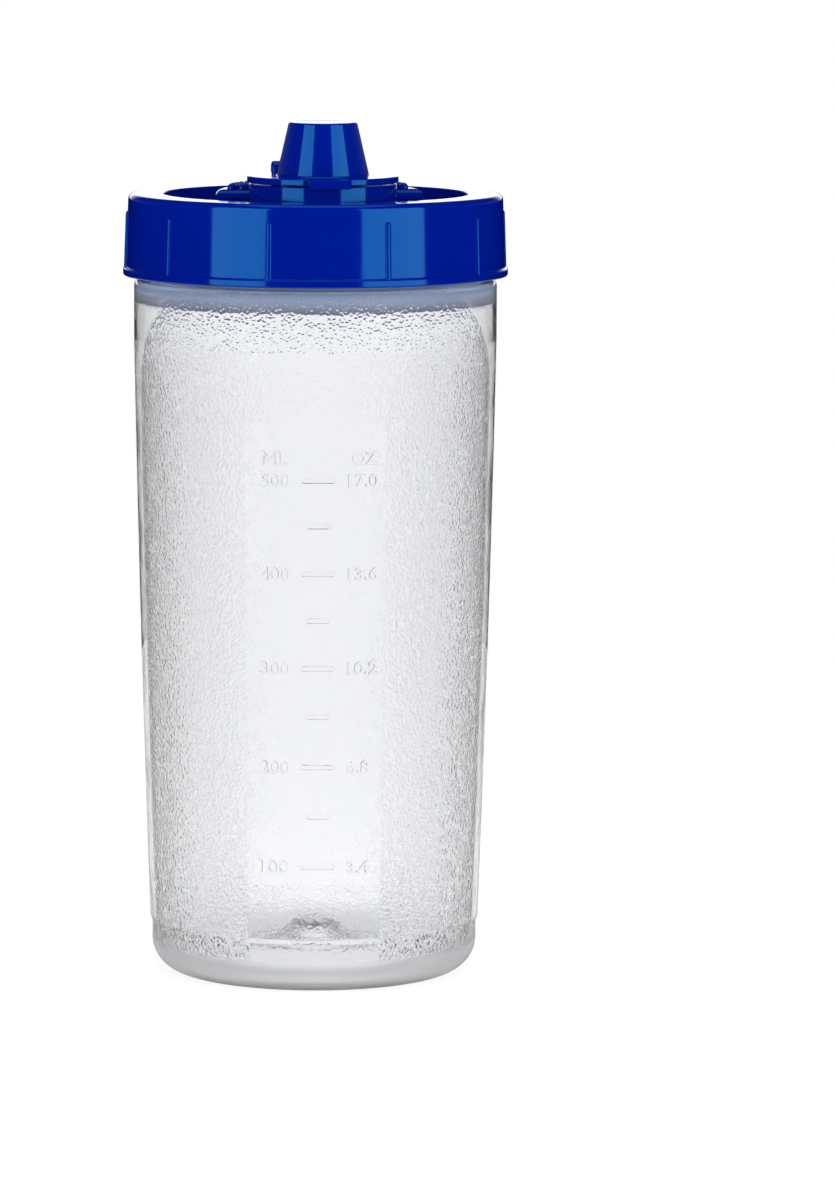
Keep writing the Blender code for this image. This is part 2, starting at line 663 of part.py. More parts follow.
def make_insert(material, lid_frame):
    insert = shaped("pour_insert", turned(dish_profile(), INSERT_STEPS), material, parent=lid_frame)
    under = RECESS_FLOOR_Z - INSERT_WALL / 2
    nozzle_steps = LID_STEPS // 2
    nozzle = turned(nozzle_profile(0, DECK_Z - INSERT_WALL / 2, NOZZLE_TOP_Z), nozzle_steps)
    nozzle = facets_turned(nozzle, nozzle_steps, NOZZLE_TURN_SHARE)
    for name, made, forward in (
        ("pedestal_shape", pedestal_shape(0, under, DECK_Z), 0),
        ("platform_shape", platform_shape(0, under, PLATFORM_Z, PLATFORM_EDGE_ROUND), 0),
        ("nozzle_shape", nozzle, PEDESTAL_FORWARD),
    ):
        combine(insert, shaped(name, made, place=(0, -forward, 0), parent=lid_frame), "UNION")
    combine(insert, insert_hollow(lid_frame), "DIFFERENCE")
    ears = shaped("ear_shapes", ear_shapes(), parent=lid_frame)
    pin_hole = along_x(cylinder(PIN_RADIUS + PIN_GAP, -SOCKET_END, SOCKET_END, SMALL_STEPS))
    hole_place = (0, -HINGE_FORWARD, HINGE_Z)
    combine(ears, shaped("ear_hole", pin_hole, place=hole_place, parent=lid_frame), "DIFFERENCE")
    combine(insert, ears, "UNION")
    combine(insert, shaped("bead_shapes", bead_shapes(), parent=lid_frame), "UNION")
    return insert


def cone_radius(z):
    """Radius of the cone's outside at a height."""
    share = (z - DISC_TOP_Z) / CONE_HEIGHT
    return CONE_FOOT_RADIUS + (CONE_TIP_RADIUS - CONE_FOOT_RADIUS) * share


def tabbed_disc():
    """The disc with its thumb tab, as one rounded plate about its own centre."""
    corner = math.asin(TAB_WIDTH / 2 / DISC_RADIUS)
    front = -DISC_RADIUS - TAB_REACH
    places = [(TAB_WIDTH / 2 - TAB_BEVEL, front), (TAB_WIDTH / 2, front + TAB_BEVEL)]
    for i in range(LID_STEPS + 1):
        angle = corner - math.pi / 2 + (math.tau - corner * 2) * i / LID_STEPS
        places.append((DISC_RADIUS * math.cos(angle), DISC_RADIUS * math.sin(angle)))
    places += [(-TAB_WIDTH / 2, front + TAB_BEVEL), (TAB_BEVEL - TAB_WIDTH / 2, front)]
    made = bmesh.new()
    plate = made.faces.new([made.verts.new((x, y, DISC_Z)) for x, y in places])
    out = bmesh.ops.extrude_face_region(made, geom=[plate], use_keep_orig=True)
    raised = [v for v in out["geom"] if isinstance(v, bmesh.types.BMVert)]
    bmesh.ops.translate(made, verts=raised, vec=(0, 0, DISC_THICKNESS))
    bmesh.ops.recalc_face_normals(made, faces=made.faces)
    rims = [e for e in made.edges if abs(e.verts[0].co.z - e.verts[1].co.z) < DISC_THICKNESS / 2]
    bmesh.ops.bevel(
        made, geom=rims, offset=DISC_EDGE_ROUND, segments=2, profile=0.5, affect="EDGES", material=-1
    )
    return made


def make_flip_lid(material, lid_frame):
    """The disc, its hollow cone, thumb tab and hinge barrel, with the origin on the hinge axis."""
    hinge = Vector((0, -HINGE_FORWARD, HINGE_Z))
    disc = tabbed_disc()
    bmesh.ops.translate(disc, verts=disc.verts, vec=Vector((0, -PEDESTAL_FORWARD, 0)) - hinge)
    lid = shaped("flip_lid", disc, material, place=hinge, parent=lid_frame)

    sunk_z = DISC_TOP_Z - DISC_THICKNESS / 2
    cone = turned(
        outline(
            [
                (0, CONE_TOP_Z, 0),
                (CONE_TIP_RADIUS, CONE_TOP_Z, CONE_TIP_ROUND),
                (cone_radius(sunk_z), sunk_z, 0),
                (0, sunk_z, 0),
            ]
        ),
        LID_STEPS,
    )
    ceiling = CONE_TOP_Z - CONE_WALL
    hollow = turned(
        outline(
            [
                (0, ceiling, 0),
                (cone_radius(ceiling) - CONE_WALL, ceiling, CONE_TIP_ROUND),
                (cone_radius(DISC_Z - OVERRUN) - CONE_WALL, DISC_Z - OVERRUN, 0),
                (0, DISC_Z - OVERRUN, 0),
            ]
        ),
        LID_STEPS,
    )
    spout_place = (0, -PEDESTAL_FORWARD, 0)

    barrel = along_x(cylinder(BARREL_RADIUS, -BARREL_LENGTH / 2, BARREL_LENGTH / 2, SMALL_STEPS))
    half = BARREL_LENGTH / 2 - DISC_EDGE_ROUND
    web_front = -HINGE_FORWARD - BARREL_RADIUS - BARREL_SETBACK - WEB_REACH
    web = box((-half, web_front, DISC_Z + DISC_THICKNESS / 3), (half, -HINGE_FORWARD, HINGE_Z))
    cut_off(web, (0, web_front, DISC_TOP_Z - DISC_THICKNESS / 3), (0, -1, 2))

    for name, made, place in (
        ("cone_shape", cone, spout_place),
        ("web_shape", web, (0, 0, 0)),
        ("barrel_shape", barrel, hinge),
    ):
        combine(lid, shaped(name, made, place=place, parent=lid_frame), "UNION")
    pin_hole = along_x(cylinder(PIN_RADIUS + PIN_GAP, -BARREL_LENGTH, BARREL_LENGTH, SMALL_STEPS))
    for name, made, place in (("cone_hollow", hollow, spout_place), ("barrel_hole", pin_hole, hinge)):
        combine(lid, shaped(name, made, place=place, parent=lid_frame), "DIFFERENCE")
    return lid


def make_seal(material, lid_frame):
    """The soft liner in the cone's ceiling, which closes the nozzle's tip."""
    radius = cone_radius(SEAL_TOP_Z) - CONE_WALL - SEAT_GAP
    low_z = SEAL_TOP_Z - SEAL_THICKNESS
    profile = outline(
        [
            (0, SEAL_TOP_Z, 0),
            (radius, SEAL_TOP_Z, SEAL_ROUND),
            (radius, low_z, SEAL_ROUND),
            (0, low_z, 0),
        ]
    )
    return shaped("spout_seal", turned(profile, LID_STEPS // 2), material, (0, -PEDESTAL_FORWARD, 0), lid_frame)


def make_pin(material, lid_frame):
    """The hinge pin, which sits in the sockets of the two ears."""
    end = SOCKET_END - PIN_GAP
    profile = outline(
        [
            (0, end, 0),
            (PIN_RADIUS - PIN_CHAMFER, end, 0),
            (PIN_RADIUS, end - PIN_CHAMFER, 0),
            (PIN_RADIUS, PIN_CHAMFER - end, 0),
            (PIN_RADIUS - PIN_CHAMFER, -end, 0),
            (0, -end, 0),
        ]
    )
    pin = along_x(turned(profile, SMALL_STEPS))
    return shaped("hinge_pin", pin, material, (0, -HINGE_FORWARD, HINGE_Z), lid_frame)


def main():
    clear_scene()
    natural = plastic("natural_polypropylene", (0.86, 0.89, 0.93), 0.18, transmission=0.92)
    blue = plastic("blue_polypropylene", (0.0, 0.03, 0.32), 0.22)
    silicone = plastic("clear_silicone", (0.8, 0.82, 0.84), 0.45, transmission=0.3, ior=1.41)
    lid_frame = bpy.data.objects.new("lid_frame", None)
    bpy.context.scene.collection.objects.link(lid_frame)
    lid_frame.rotation_euler = (0, 0, LID_TURN)
    make_bottle(natural)
    make_gasket(silicone)
    make_ring(blue)
    make_insert(blue, lid_frame)
    make_flip_lid(blue, lid_frame)
    make_seal(silicone, lid_frame)
    make_pin(blue, lid_frame)


main()
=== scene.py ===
"""Oil dispenser bottle: moulded pieces, materials, studio and camera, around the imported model.

Metres, +Z up, the front is -Y. Sizes below are in millimetres and are the CAD model's own.
"""

import math

import bmesh
import bpy
from mathutils import Matrix, Vector


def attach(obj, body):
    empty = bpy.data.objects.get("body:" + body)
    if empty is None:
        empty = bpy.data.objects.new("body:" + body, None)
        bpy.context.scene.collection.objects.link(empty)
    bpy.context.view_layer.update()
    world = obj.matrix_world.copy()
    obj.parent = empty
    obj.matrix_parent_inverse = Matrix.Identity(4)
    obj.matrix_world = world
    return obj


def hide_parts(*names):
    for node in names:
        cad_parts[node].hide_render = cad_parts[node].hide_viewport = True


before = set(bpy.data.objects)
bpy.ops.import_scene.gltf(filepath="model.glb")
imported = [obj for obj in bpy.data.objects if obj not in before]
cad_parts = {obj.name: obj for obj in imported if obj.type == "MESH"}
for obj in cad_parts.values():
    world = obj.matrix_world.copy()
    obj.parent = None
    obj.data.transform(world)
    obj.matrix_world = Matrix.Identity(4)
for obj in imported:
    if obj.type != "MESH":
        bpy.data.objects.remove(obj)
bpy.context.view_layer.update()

MM = 0.001

# Bottle
BODY_HEIGHT = 158.5
SHOULDER_RADIUS = 41.2
SHOULDER_BAND = 13.5
FOOT_RADIUS = 37.6
SIDE_BOW = 0.28
BODY_WALL = 1.2
FLOOR_THICKNESS = 1.9
SHOULDER_ROUND = 1.3
THICK_WALL = 2.4
THICK_WALL_DROP = 5.0
HEEL_HEIGHT = 11.5
HEEL_STEP = 0.5
HEEL_STEP_HEIGHT = 1.2
HEEL_ROUND = 7.5
CONTACT_WIDTH = 3.2
PUNT_RADIUS = 24.0
PUNT_HEIGHT = 11.6
PUNT_SKIRT_HEIGHT = 4.4
# the pushed-up base: (share of the radius, share of the height), and the rounding of each corner
PUNT_CURVE = ((0.183, 1.0), (0.225, 0.86), (0.30, 0.70), (0.417, 0.53), (0.654, 0.34), (1.0, 0.0))
PUNT_ROUNDS = (0.5, 0.6, 2, 5, 8, 6)
MOUTH_FOOT_DROP = 1
SIDE_ROWS = 12  # rows of facets that draw the wall's bow
NECK_RADIUS = 38.7
MOUTH_RADIUS = 37.2
RIM_Z = 171.4

# Screw threads of the neck and the ring, 4 mm pitch, right-handed
THREAD_PITCH = 4.0
THREAD_Z = 160.3
THREAD_START = 200  # degrees
THREAD_TURNS = 2.0
THREAD_DEPTH = 1.3
THREAD_ROOT_HALF = 1.1
THREAD_CREST_HALF = 0.5
THREAD_SINK = 0.5
THREAD_END_SINK = 0.25
THREAD_RUNOUT = 30  # degrees
THREAD_STEPS = 72
RING_THREAD_Z = 159.95
RING_THREAD_CREST = 39.1
RING_THREAD_PHASE = 0.6  # turns past the neck thread's start
RING_THREAD_TURNS = 1.25

# Measuring scale: raised marks on the front wall
FIGURE_EDGE = 0.2
FIGURE_RISE = 0.34
BAR_HEIGHT = 1.25
BAR_SINK = 0.3
BAR_X = 0.7
BAR_END_STEPS = 8
LONG_BAR = 7.6
SHORT_BAR = 5.2
FIGURE_HEIGHT = 2.9
MILLILITRES_X = -9.2
MILLILITRES_WIDTH = 6.5
# across and width of the ounces, by their number of characters
OUNCES = {4: (10.9, 7.0), 3: (9.9, 5.2)}
# word, across, up, width
SCALE_HEADS = (("ML", -9.2, 121.6, 5.8), ("OZ", 11.2, 121.6, 5.8))
# millilitres, ounces, up
SCALE_ROWS = (
    ("500", "17.0", 116.6),
    ("400", "13.6", 95.7),
    ("300", "10.2", 74.4),
    ("200", "6.8", 52.1),
    ("100", "3.4", 29.4),
)
SHORT_BARS = (106.4, 85.2, 63.5, 40.9)

# Pebbled grip: an arch on the front and the back, and a smooth strip behind the scale
PEBBLE_PITCH = 0.8
PEBBLE_HEIGHT = 0.2
ARCH_Z = 135
ARCH_TOP_Z = 165
ARCH_HALF_ANGLE = 74
STRIP_HALF_ANGLE = 22.6
STRIP_TOP_Z = 129

# Screw ring
RING_Z = 159.55
RING_TOP_Z = 178.0
RING_TOP_RADIUS = 42.5
RING_FOOT_RADIUS = 43.05
RING_FLANGE_RADIUS = 43.7
RING_FLANGE_HEIGHT = 1.8
RING_BORE_RADIUS = 40.7
LIP_OPENING_RADIUS = 34.5
LIP_THICKNESS = 1.8
COLLAR_Z = 174.8
COLLAR_WALL = 1.7
PRESS_BEAD_OUTER = 38.55
PRESS_BEAD_INNER = 37.35
RING_EDGE_ROUND = 1.4
RIB_COUNT = 10
RIB_FIRST_ANGLE = -104
RIB_TOP_Z = 174.1
RIB_WIDTH = 1.4
RIB_PROUD = 0.5
RIB_CROWN = 0.8

# Pour insert
LID_TURN = 5.3
FLANGE_Z = 173.2
FLANGE_TOP_Z = 174.5
FLANGE_RADIUS = 38.8
PLUG_RADIUS = 36.85
DISH_RADIUS = 35.45
RECESS_FLOOR_Z = 170.3
INSERT_WALL = 1.4
PLUG_FOOT_Z = 156.4
PEDESTAL_RADIUS = 16.65
PEDESTAL_FORWARD = 17.25
DECK_Z = 181.25
PLATFORM_RADIUS = 23.6
PLATFORM_FORWARD = 8.9
PLATFORM_FRONT = 1.5
PLATFORM_EDGE_ROUND = 1.8
PLATFORM_Z = 179.45
BEAD_RADIUS = 1.1
BEAD_HEIGHT = 1.2
BEAD_PITCH = 2.5
BEAD_ROW_STEP = 2.3
BEAD_ROWS = 3
BEAD_EDGE_GAP = 0.9
BEAD_EAR_GAP = 0.3
NOZZLE_FOOT_RADIUS = 5.6
NOZZLE_TIP_RADIUS = 4.4
NOZZLE_BORE_RADIUS = 3.5
NOZZLE_TOP_Z = 190.9
VENT_RADIUS = 0.8
VENT_SETBACK = 7.3
VENT_MARGIN = 0.3
VENT_DEPTH = 1.2

# Flip lid and hinge
DISC_RADIUS = 17.0
DISC_Z = 181.55
DISC_TOP_Z = 183.05
CONE_TOP_Z = 195.0
CONE_FOOT_RADIUS = 10.4
CONE_TIP_RADIUS = 7.65
CONE_WALL = 1.3
TAB_WIDTH = 9.4
TAB_REACH = 1.7
TAB_DROP = 0.6
TAB_CHAMFER = 0.7
TAB_OVERLAP = 2.5
TAB_LIP_GAP = 0.2
HINGE_Z = 183.65
HINGE_BACK = 0.45
BARREL_RADIUS = 1.65
BARREL_LENGTH = 15.4
EAR_INNER = 8.0
EAR_THICKNESS = 2.1
EAR_CAP = 0.8
EAR_SINK = 0.7
EAR_ROUND = 0.6
WEB_SETBACK = 2.3
WEB_RISE = 0.4
WEB_SINK = 0.2
WEB_FOOT = 0.5
WEB_SIDE_GAP = 0.25
PIN_RADIUS = 0.75
PIN_CHAMFER = 0.2
PIN_END_GAP = 0.2

# Facets of the round forms, and the length of a rounding's facets
STEPS = 144
SMALL_STEPS = 96
HINGE_STEPS = 32
PLATFORM_STEPS = 64
EAR_STEPS = 24
ARC_STEP = 0.35


# ---------------------------------------------------------------- mesh helpers

def rounded(corners):
    """A closed section from (radius, height, rounding of the corner), in millimetres."""
    points = []
    for i, (x, z, radius) in enumerate(corners):
        corner = Vector((x, z))
        if radius == 0:
            points.append(corner)
            continue
        before = (Vector(corners[i - 1][:2]) - corner).normalized()
        after = (Vector(corners[(i + 1) % len(corners)][:2]) - corner).normalized()
        half = before.angle(after) / 2
        centre = corner + (before + after).normalized() * radius / math.sin(half)
        start = corner + before * radius / math.tan(half) - centre
        sweep = start.angle_signed(corner + after * radius / math.tan(half) - centre)
        steps = min(max(4, round(abs(sweep) * radius / ARC_STEP)), 24)
        for k in range(steps + 1):
            points.append(centre + Matrix.Rotation(-sweep * k / steps, 2) @ start)
    return points


def turned(made, corners, steps=STEPS, centre=(0, 0)):
    """Spins a section about an upright axis and adds it to a mesh."""
    old = set(made.verts)
    points = [Vector((p.x + centre[0], centre[1], p.y)) * MM for p in rounded(corners)]
    verts = [made.verts.new(p) for p in points]
    edges = [made.edges.new((a, b)) for a, b in zip(verts, verts[1:] + verts[:1])]
    axis = Vector((centre[0], centre[1], 0)) * MM
    bmesh.ops.spin(
        made, geom=verts + edges, cent=axis, axis=(0, 0, 1), angle=math.tau, steps=steps, use_merge=True,
    )
    return clean(made, old)


def clean(made, old):
    """Merges what was added to a mesh and turns its faces outwards."""
    new = [v for v in made.verts if v not in old]
    bmesh.ops.remove_doubles(made, verts=new, dist=0.00001)
    new = [v for v in made.verts if v not in old]
    flat = [e for e in made.edges if e.calc_length() < 0.000001]
    bmesh.ops.dissolve_degenerate(made, dist=0.000001, edges=flat)
    faces = list({f for v in new if v.is_valid for f in v.link_faces})
    bmesh.ops.recalc_face_normals(made, faces=faces)
    return [v for v in made.verts if v not in old]


def plate(made, places, low_z, high_z):
    """A flat plate from its outline."""
    old = set(made.verts)
    face = made.faces.new([made.verts.new((x * MM, y * MM, low_z * MM)) for x, y in places])
    out = bmesh.ops.extrude_face_region(made, geom=[face], use_keep_orig=True)
    raised = [v for v in out["geom"] if isinstance(v, bmesh.types.BMVert)]
    bmesh.ops.translate(made, verts=raised, vec=(0, 0, (high_z - low_z) * MM))
    return clean(made, old)


def bevelled(made, verts, chosen, size, segments=3):
    """Rounds the edges of some vertices that pass a test."""
    edges = {e for v in verts if v.is_valid for e in v.link_edges if chosen(e)}
    bmesh.ops.bevel(
        made, geom=list(edges), offset=size * MM, segments=segments, profile=0.5,
        affect="EDGES", material=-1,
    )


def piece(name, made, material, body, *nodes, sharp=40, lid=False, even=True):
    """A finished piece that rides on a body and stands for CAD nodes."""
    if lid:
        turn = Matrix.Rotation(math.radians(LID_TURN), 3, "Z")
        bmesh.ops.rotate(made, verts=made.verts, matrix=turn)
    mesh = bpy.data.meshes.new(name)
    made.to_mesh(mesh)
    made.free()
    mesh.shade_smooth()
    mesh.set_sharp_from_angle(angle=math.radians(sharp))
    mesh.materials.append(material)
    thing = bpy.data.objects.new(name, mesh)
    bpy.context.scene.collection.objects.link(thing)
    if even:
        # broad walls keep their own direction beside the small roundings
        shading = thing.modifiers.new("even_shading", "WEIGHTED_NORMAL")
        shading.keep_sharp = True
    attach(thing, body)
    if nodes:
        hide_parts(*nodes)
    return thing


def joined(made, raised):
    """One closed mesh from a solid and the solids that stand on it."""
    things = []
    for name, source in (("solid", made), ("raised", raised)):
        mesh = bpy.data.meshes.new(name)
        source.to_mesh(mesh)
        source.free()
        thing = bpy.data.objects.new(name, mesh)
        bpy.context.scene.collection.objects.link(thing)
        things.append(thing)
    union = things[0].modifiers.new("union", "BOOLEAN")
    union.operation = "UNION"
    union.object = things[1]
    union.use_self = True
    whole = bmesh.new()
    whole.from_object(things[0], bpy.context.evaluated_depsgraph_get())
    for thing in things:
        mesh = thing.data
        bpy.data.objects.remove(thing)
        bpy.data.meshes.remove(mesh)
    return whole


def helix(made, root, crest, root_z, start_angle, turns):
    """A screw thread's ridge, whose crest sinks into the wall at both ends."""
    old = set(made.verts)
    inward = math.copysign(1, crest - root)
    back = root - inward * THREAD_SINK
    steps = round(turns * THREAD_STEPS)
    section = [
        (back, -THREAD_ROOT_HALF),
        (crest, -THREAD_CREST_HALF),
        (crest, THREAD_CREST_HALF),
        (back, THREAD_ROOT_HALF),
    ]
    ring = [made.verts.new((r * MM, 0, (z + root_z) * MM)) for r, z in section]
    bmesh.ops.rotate(made, verts=ring, matrix=Matrix.Rotation(start_angle, 3, "Z"))
    edges = [made.edges.new((a, b)) for a, b in zip(ring, ring[1:] + ring[:1])]
    made.faces.new(ring)
    rise = THREAD_PITCH * turns / steps * MM
    out = bmesh.ops.spin(
        made, geom=ring + edges, cent=(0, 0, 0), axis=(0, 0, 1), dvec=(0, 0, rise),
        angle=math.tau * turns, steps=steps, use_merge=False,
    )
    last = [g for g in out["geom_last"] if isinstance(g, bmesh.types.BMVert)]
    bmesh.ops.contextual_create(made, geom=last)
    runout = math.radians(THREAD_RUNOUT)
    sunk = root - inward * THREAD_END_SINK
    for v in made.verts:
        if v in old:
            continue
        radius = math.hypot(v.co.x, v.co.y) / MM
        if abs(radius - crest) > 0.1:
            continue
        angle = (v.co.z / MM - root_z) / THREAD_PITCH * math.tau
        share = min(1, angle / runout, (turns * math.tau - angle) / runout)
        wanted = sunk + (crest - sunk) * max(0, share)
        v.co.x *= wanted / radius
        v.co.y *= wanted / radius
    return clean(made, old)


# ---------------------------------------------------------------- materials

def linear(hex_colour):
    """An sRGB hex colour as linear RGBA."""
    values = [int(hex_colour[i:i + 2], 16) / 255 for i in (0, 2, 4)]
    return (*[v / 12.92 if v <= 0.04045 else ((v + 0.055) / 1.055) ** 2.4 for v in values], 1.0)


def add(tree, kind, links=None, **settings):
    """Adds a node with its settings, and links its inputs by name or number."""
    made = tree.nodes.new(kind)
    for name, value in settings.items():
        setattr(made, name, value)
    for key, value in (links or {}).items():
        socket = made.inputs[key]
        if isinstance(value, bpy.types.NodeSocket):
            tree.links.new(value, socket)
        else:
            socket.default_value = value
    return made


def new_material(name):
    made = bpy.data.materials.new(name)
    made.use_nodes = True
    tree = made.node_tree
    tree.nodes.clear()
    return made, tree


def blue_polypropylene():
    """Blue polypropylene, injection moulded and glossy: soft reflections over a faint orange peel."""
    made, tree = new_material("blue_polypropylene")
    place = add(tree, "ShaderNodeTexCoord").outputs["Object"]
    # pigment clouds 14 mm wide, orange peel 1.3 mm wide
    cloud = add(tree, "ShaderNodeTexNoise", {"Vector": place, "Scale": 1 / (14 * MM), "Detail": 3.0})
    peel = add(tree, "ShaderNodeTexNoise", {"Vector": place, "Scale": 1 / (1.3 * MM), "Detail": 2.0})
    tone = add(tree, "ShaderNodeMix", {
        "Factor": cloud.outputs["Fac"], 6: linear("00188C"), 7: linear("001C98"),
    }, data_type="RGBA")
    gloss = add(tree, "ShaderNodeMapRange", {
        "Value": cloud.outputs["Fac"], "From Min": 0.3, "From Max": 0.7, "To Min": 0.07, "To Max": 0.1,
    })
    # level sink marks, 3.2 mm tall
    flat = add(tree, "ShaderNodeMapping", {"Vector": place, "Scale": (0.12, 0.12, 1.0)})
    sink = add(tree, "ShaderNodeTexNoise", {
        "Vector": flat.outputs[0], "Scale": 1 / (3.2 * MM), "Detail": 1.0,
    })
    hollow = add(tree, "ShaderNodeBump", {
        "Height": sink.outputs["Fac"], "Strength": 0.3, "Distance": 0.06 * MM,
    })
    bump = add(tree, "ShaderNodeBump", {
        "Height": peel.outputs["Fac"], "Strength": 0.1, "Distance": 0.02 * MM,
        "Normal": hollow.outputs["Normal"],
    })
    shader = add(tree, "ShaderNodeBsdfPrincipled", {
        "Base Color": tone.outputs[2],
        "Roughness": gloss.outputs["Result"],
        "Normal": bump.outputs["Normal"],
        "IOR": 1.49,
        "Specular IOR Level": 0.8,
        "Specular Tint": linear("48CCFF"),
    })
    add(tree, "ShaderNodeOutputMaterial", {"Surface": shader.outputs[0]})
    return made


def silicone():
    """Clear silicone, compression moulded: a soft milky sheen."""
    made, tree = new_material("clear_silicone")
    place = add(tree, "ShaderNodeTexCoord").outputs["Object"]
    grain = add(tree, "ShaderNodeTexNoise", {"Vector": place, "Scale": 1 / (0.8 * MM), "Detail": 2.0})
    tone = add(tree, "ShaderNodeMix", {
        "Factor": grain.outputs["Fac"], 6: linear("DDE2E6"), 7: linear("E8ECEF"),
    }, data_type="RGBA")
    bump = add(tree, "ShaderNodeBump", {
        "Height": grain.outputs["Fac"], "Strength": 0.1, "Distance": 0.05 * MM,
    })
    shader = add(tree, "ShaderNodeBsdfPrincipled", {
        "Base Color": tone.outputs[2],
        "Roughness": 0.45,
        "Normal": bump.outputs["Normal"],
        "IOR": 1.41,
        "Transmission Weight": 0.3,
    })
    add(tree, "ShaderNodeOutputMaterial", {"Surface": shader.outputs[0]})
    return made


def natural_polypropylene():
    """Natural polypropylene, blow moulded: clear but faintly milky, with a pebbled grip and smooth bands."""
    made, tree = new_material("natural_polypropylene")
    place = add(tree, "ShaderNodeTexCoord").outputs["Object"]
    x, y, z = add(tree, "ShaderNodeSeparateXYZ", {"Vector": place}).outputs
    side = add(tree, "ShaderNodeMath", {0: y}, operation="ABSOLUTE").outputs[0]
    angle = add(tree, "ShaderNodeMath", {0: x, 1: side}, operation="ARCTAN2").outputs[0]
    spread = add(tree, "ShaderNodeMath", {0: angle}, operation="ABSOLUTE").outputs[0]
    # the grip's arch, front and back: its half width in radians shrinks towards the top
    height = add(tree, "ShaderNodeMapRange", {
        "Value": z, "From Min": ARCH_Z * MM, "From Max": ARCH_TOP_Z * MM, "To Min": 0.0, "To Max": 1.0,
    }).outputs["Result"]
    square = add(tree, "ShaderNodeMath", {0: height, 1: 2.0}, operation="POWER").outputs[0]
    rest = add(tree, "ShaderNodeMath", {0: 1.0, 1: square}, operation="SUBTRACT").outputs[0]
    root = add(tree, "ShaderNodeMath", {0: rest}, operation="SQRT").outputs[0]
    limit = add(tree, "ShaderNodeMath", {
        0: root, 1: math.radians(ARCH_HALF_ANGLE),
    }, operation="MULTIPLY").outputs[0]
    inside = add(tree, "ShaderNodeMath", {0: limit, 1: spread}, operation="SUBTRACT").outputs[0]
    arch = add(tree, "ShaderNodeMapRange", {
        "Value": inside, "From Min": 0.0, "From Max": 0.03, "To Min": 0.0, "To Max": 1.0,
    }).outputs["Result"]
    # the smooth front strip with the scale, 31 mm wide
    beside = add(tree, "ShaderNodeMath", {
        0: spread, 1: math.radians(STRIP_HALF_ANGLE),
    }, operation="SUBTRACT").outputs[0]
    above = add(tree, "ShaderNodeMath", {0: z, 1: STRIP_TOP_Z * MM}, operation="SUBTRACT").outputs[0]
    above = add(tree, "ShaderNodeMath", {0: above, 1: 25.0}, operation="MULTIPLY").outputs[0]
    behind = add(tree, "ShaderNodeMath", {0: y, 1: 25.0}, operation="MULTIPLY").outputs[0]
    past = add(tree, "ShaderNodeMath", {0: beside, 1: above}, operation="MAXIMUM").outputs[0]
    past = add(tree, "ShaderNodeMath", {0: past, 1: behind}, operation="MAXIMUM").outputs[0]
    strip = add(tree, "ShaderNodeMapRange", {
        "Value": past, "From Min": 0.0, "From Max": 0.02, "To Min": 0.08, "To Max": 1.0,
    }).outputs["Result"]
    heel = add(tree, "ShaderNodeMapRange", {
        "Value": z, "From Min": 6.0 * MM, "From Max": 8.5 * MM, "To Min": 0.0, "To Max": 1.0,
    }).outputs["Result"]
    mask = add(tree, "ShaderNodeMath", {0: arch, 1: strip}, operation="MULTIPLY").outputs[0]
    mask = add(tree, "ShaderNodeMath", {0: mask, 1: heel}, operation="MULTIPLY").outputs[0]
    # the wall's outside only: the bore and the neck stay smooth
    level = add(tree, "ShaderNodeVectorMath", {0: place, 1: (1, 1, 0)}, operation="MULTIPLY").outputs[0]
    reach = add(tree, "ShaderNodeVectorMath", {0: level}, operation="LENGTH").outputs["Value"]
    wall = add(tree, "ShaderNodeMapRange", {
        "Value": z, "From Min": 12 * MM, "From Max": 145 * MM, "To Min": 36.8 * MM, "To Max": 40.6 * MM,
    }).outputs["Result"]
    outside = add(tree, "ShaderNodeMath", {0: reach, 1: wall}, operation="GREATER_THAN").outputs[0]
    low = add(tree, "ShaderNodeMath", {0: z, 1: 12.5 * MM}, operation="LESS_THAN").outputs[0]
    outside = add(tree, "ShaderNodeMath", {0: outside, 1: low}, operation="MAXIMUM").outputs[0]
    mask = add(tree, "ShaderNodeMath", {0: mask, 1: outside}, operation="MULTIPLY").outputs[0]
    # the pebbles, drawn out and run together by a slow warp
    warp = add(tree, "ShaderNodeTexNoise", {"Vector": place, "Scale": 1 / (1.6 * MM), "Detail": 1.0})
    shift = add(tree, "ShaderNodeMix", {
        "Factor": 0.0007, 4: place, 5: warp.outputs["Color"],
    }, data_type="VECTOR").outputs[1]
    cells = add(tree, "ShaderNodeTexVoronoi", {
        "Vector": shift, "Scale": 1 / (PEBBLE_PITCH * MM), "Smoothness": 0.25,
    }, feature="SMOOTH_F1")
    pebble = add(tree, "ShaderNodeMapRange", {
        "Value": cells.outputs["Distance"],
        "From Min": 0.1, "From Max": 0.75, "To Min": 1.0, "To Max": 0.0,
    }, interpolation_type="SMOOTHSTEP").outputs["Result"]
    tall = add(tree, "ShaderNodeMath", {0: pebble, 1: mask}, operation="MULTIPLY").outputs[0]
    flow = add(tree, "ShaderNodeTexNoise", {"Vector": place, "Scale": 1 / (11 * MM), "Detail": 1.0})
    tone = add(tree, "ShaderNodeMix", {
        "Factor": flow.outputs["Fac"], 6: linear("FAFBFD"), 7: linear("FDFDFE"),
    }, data_type="RGBA")
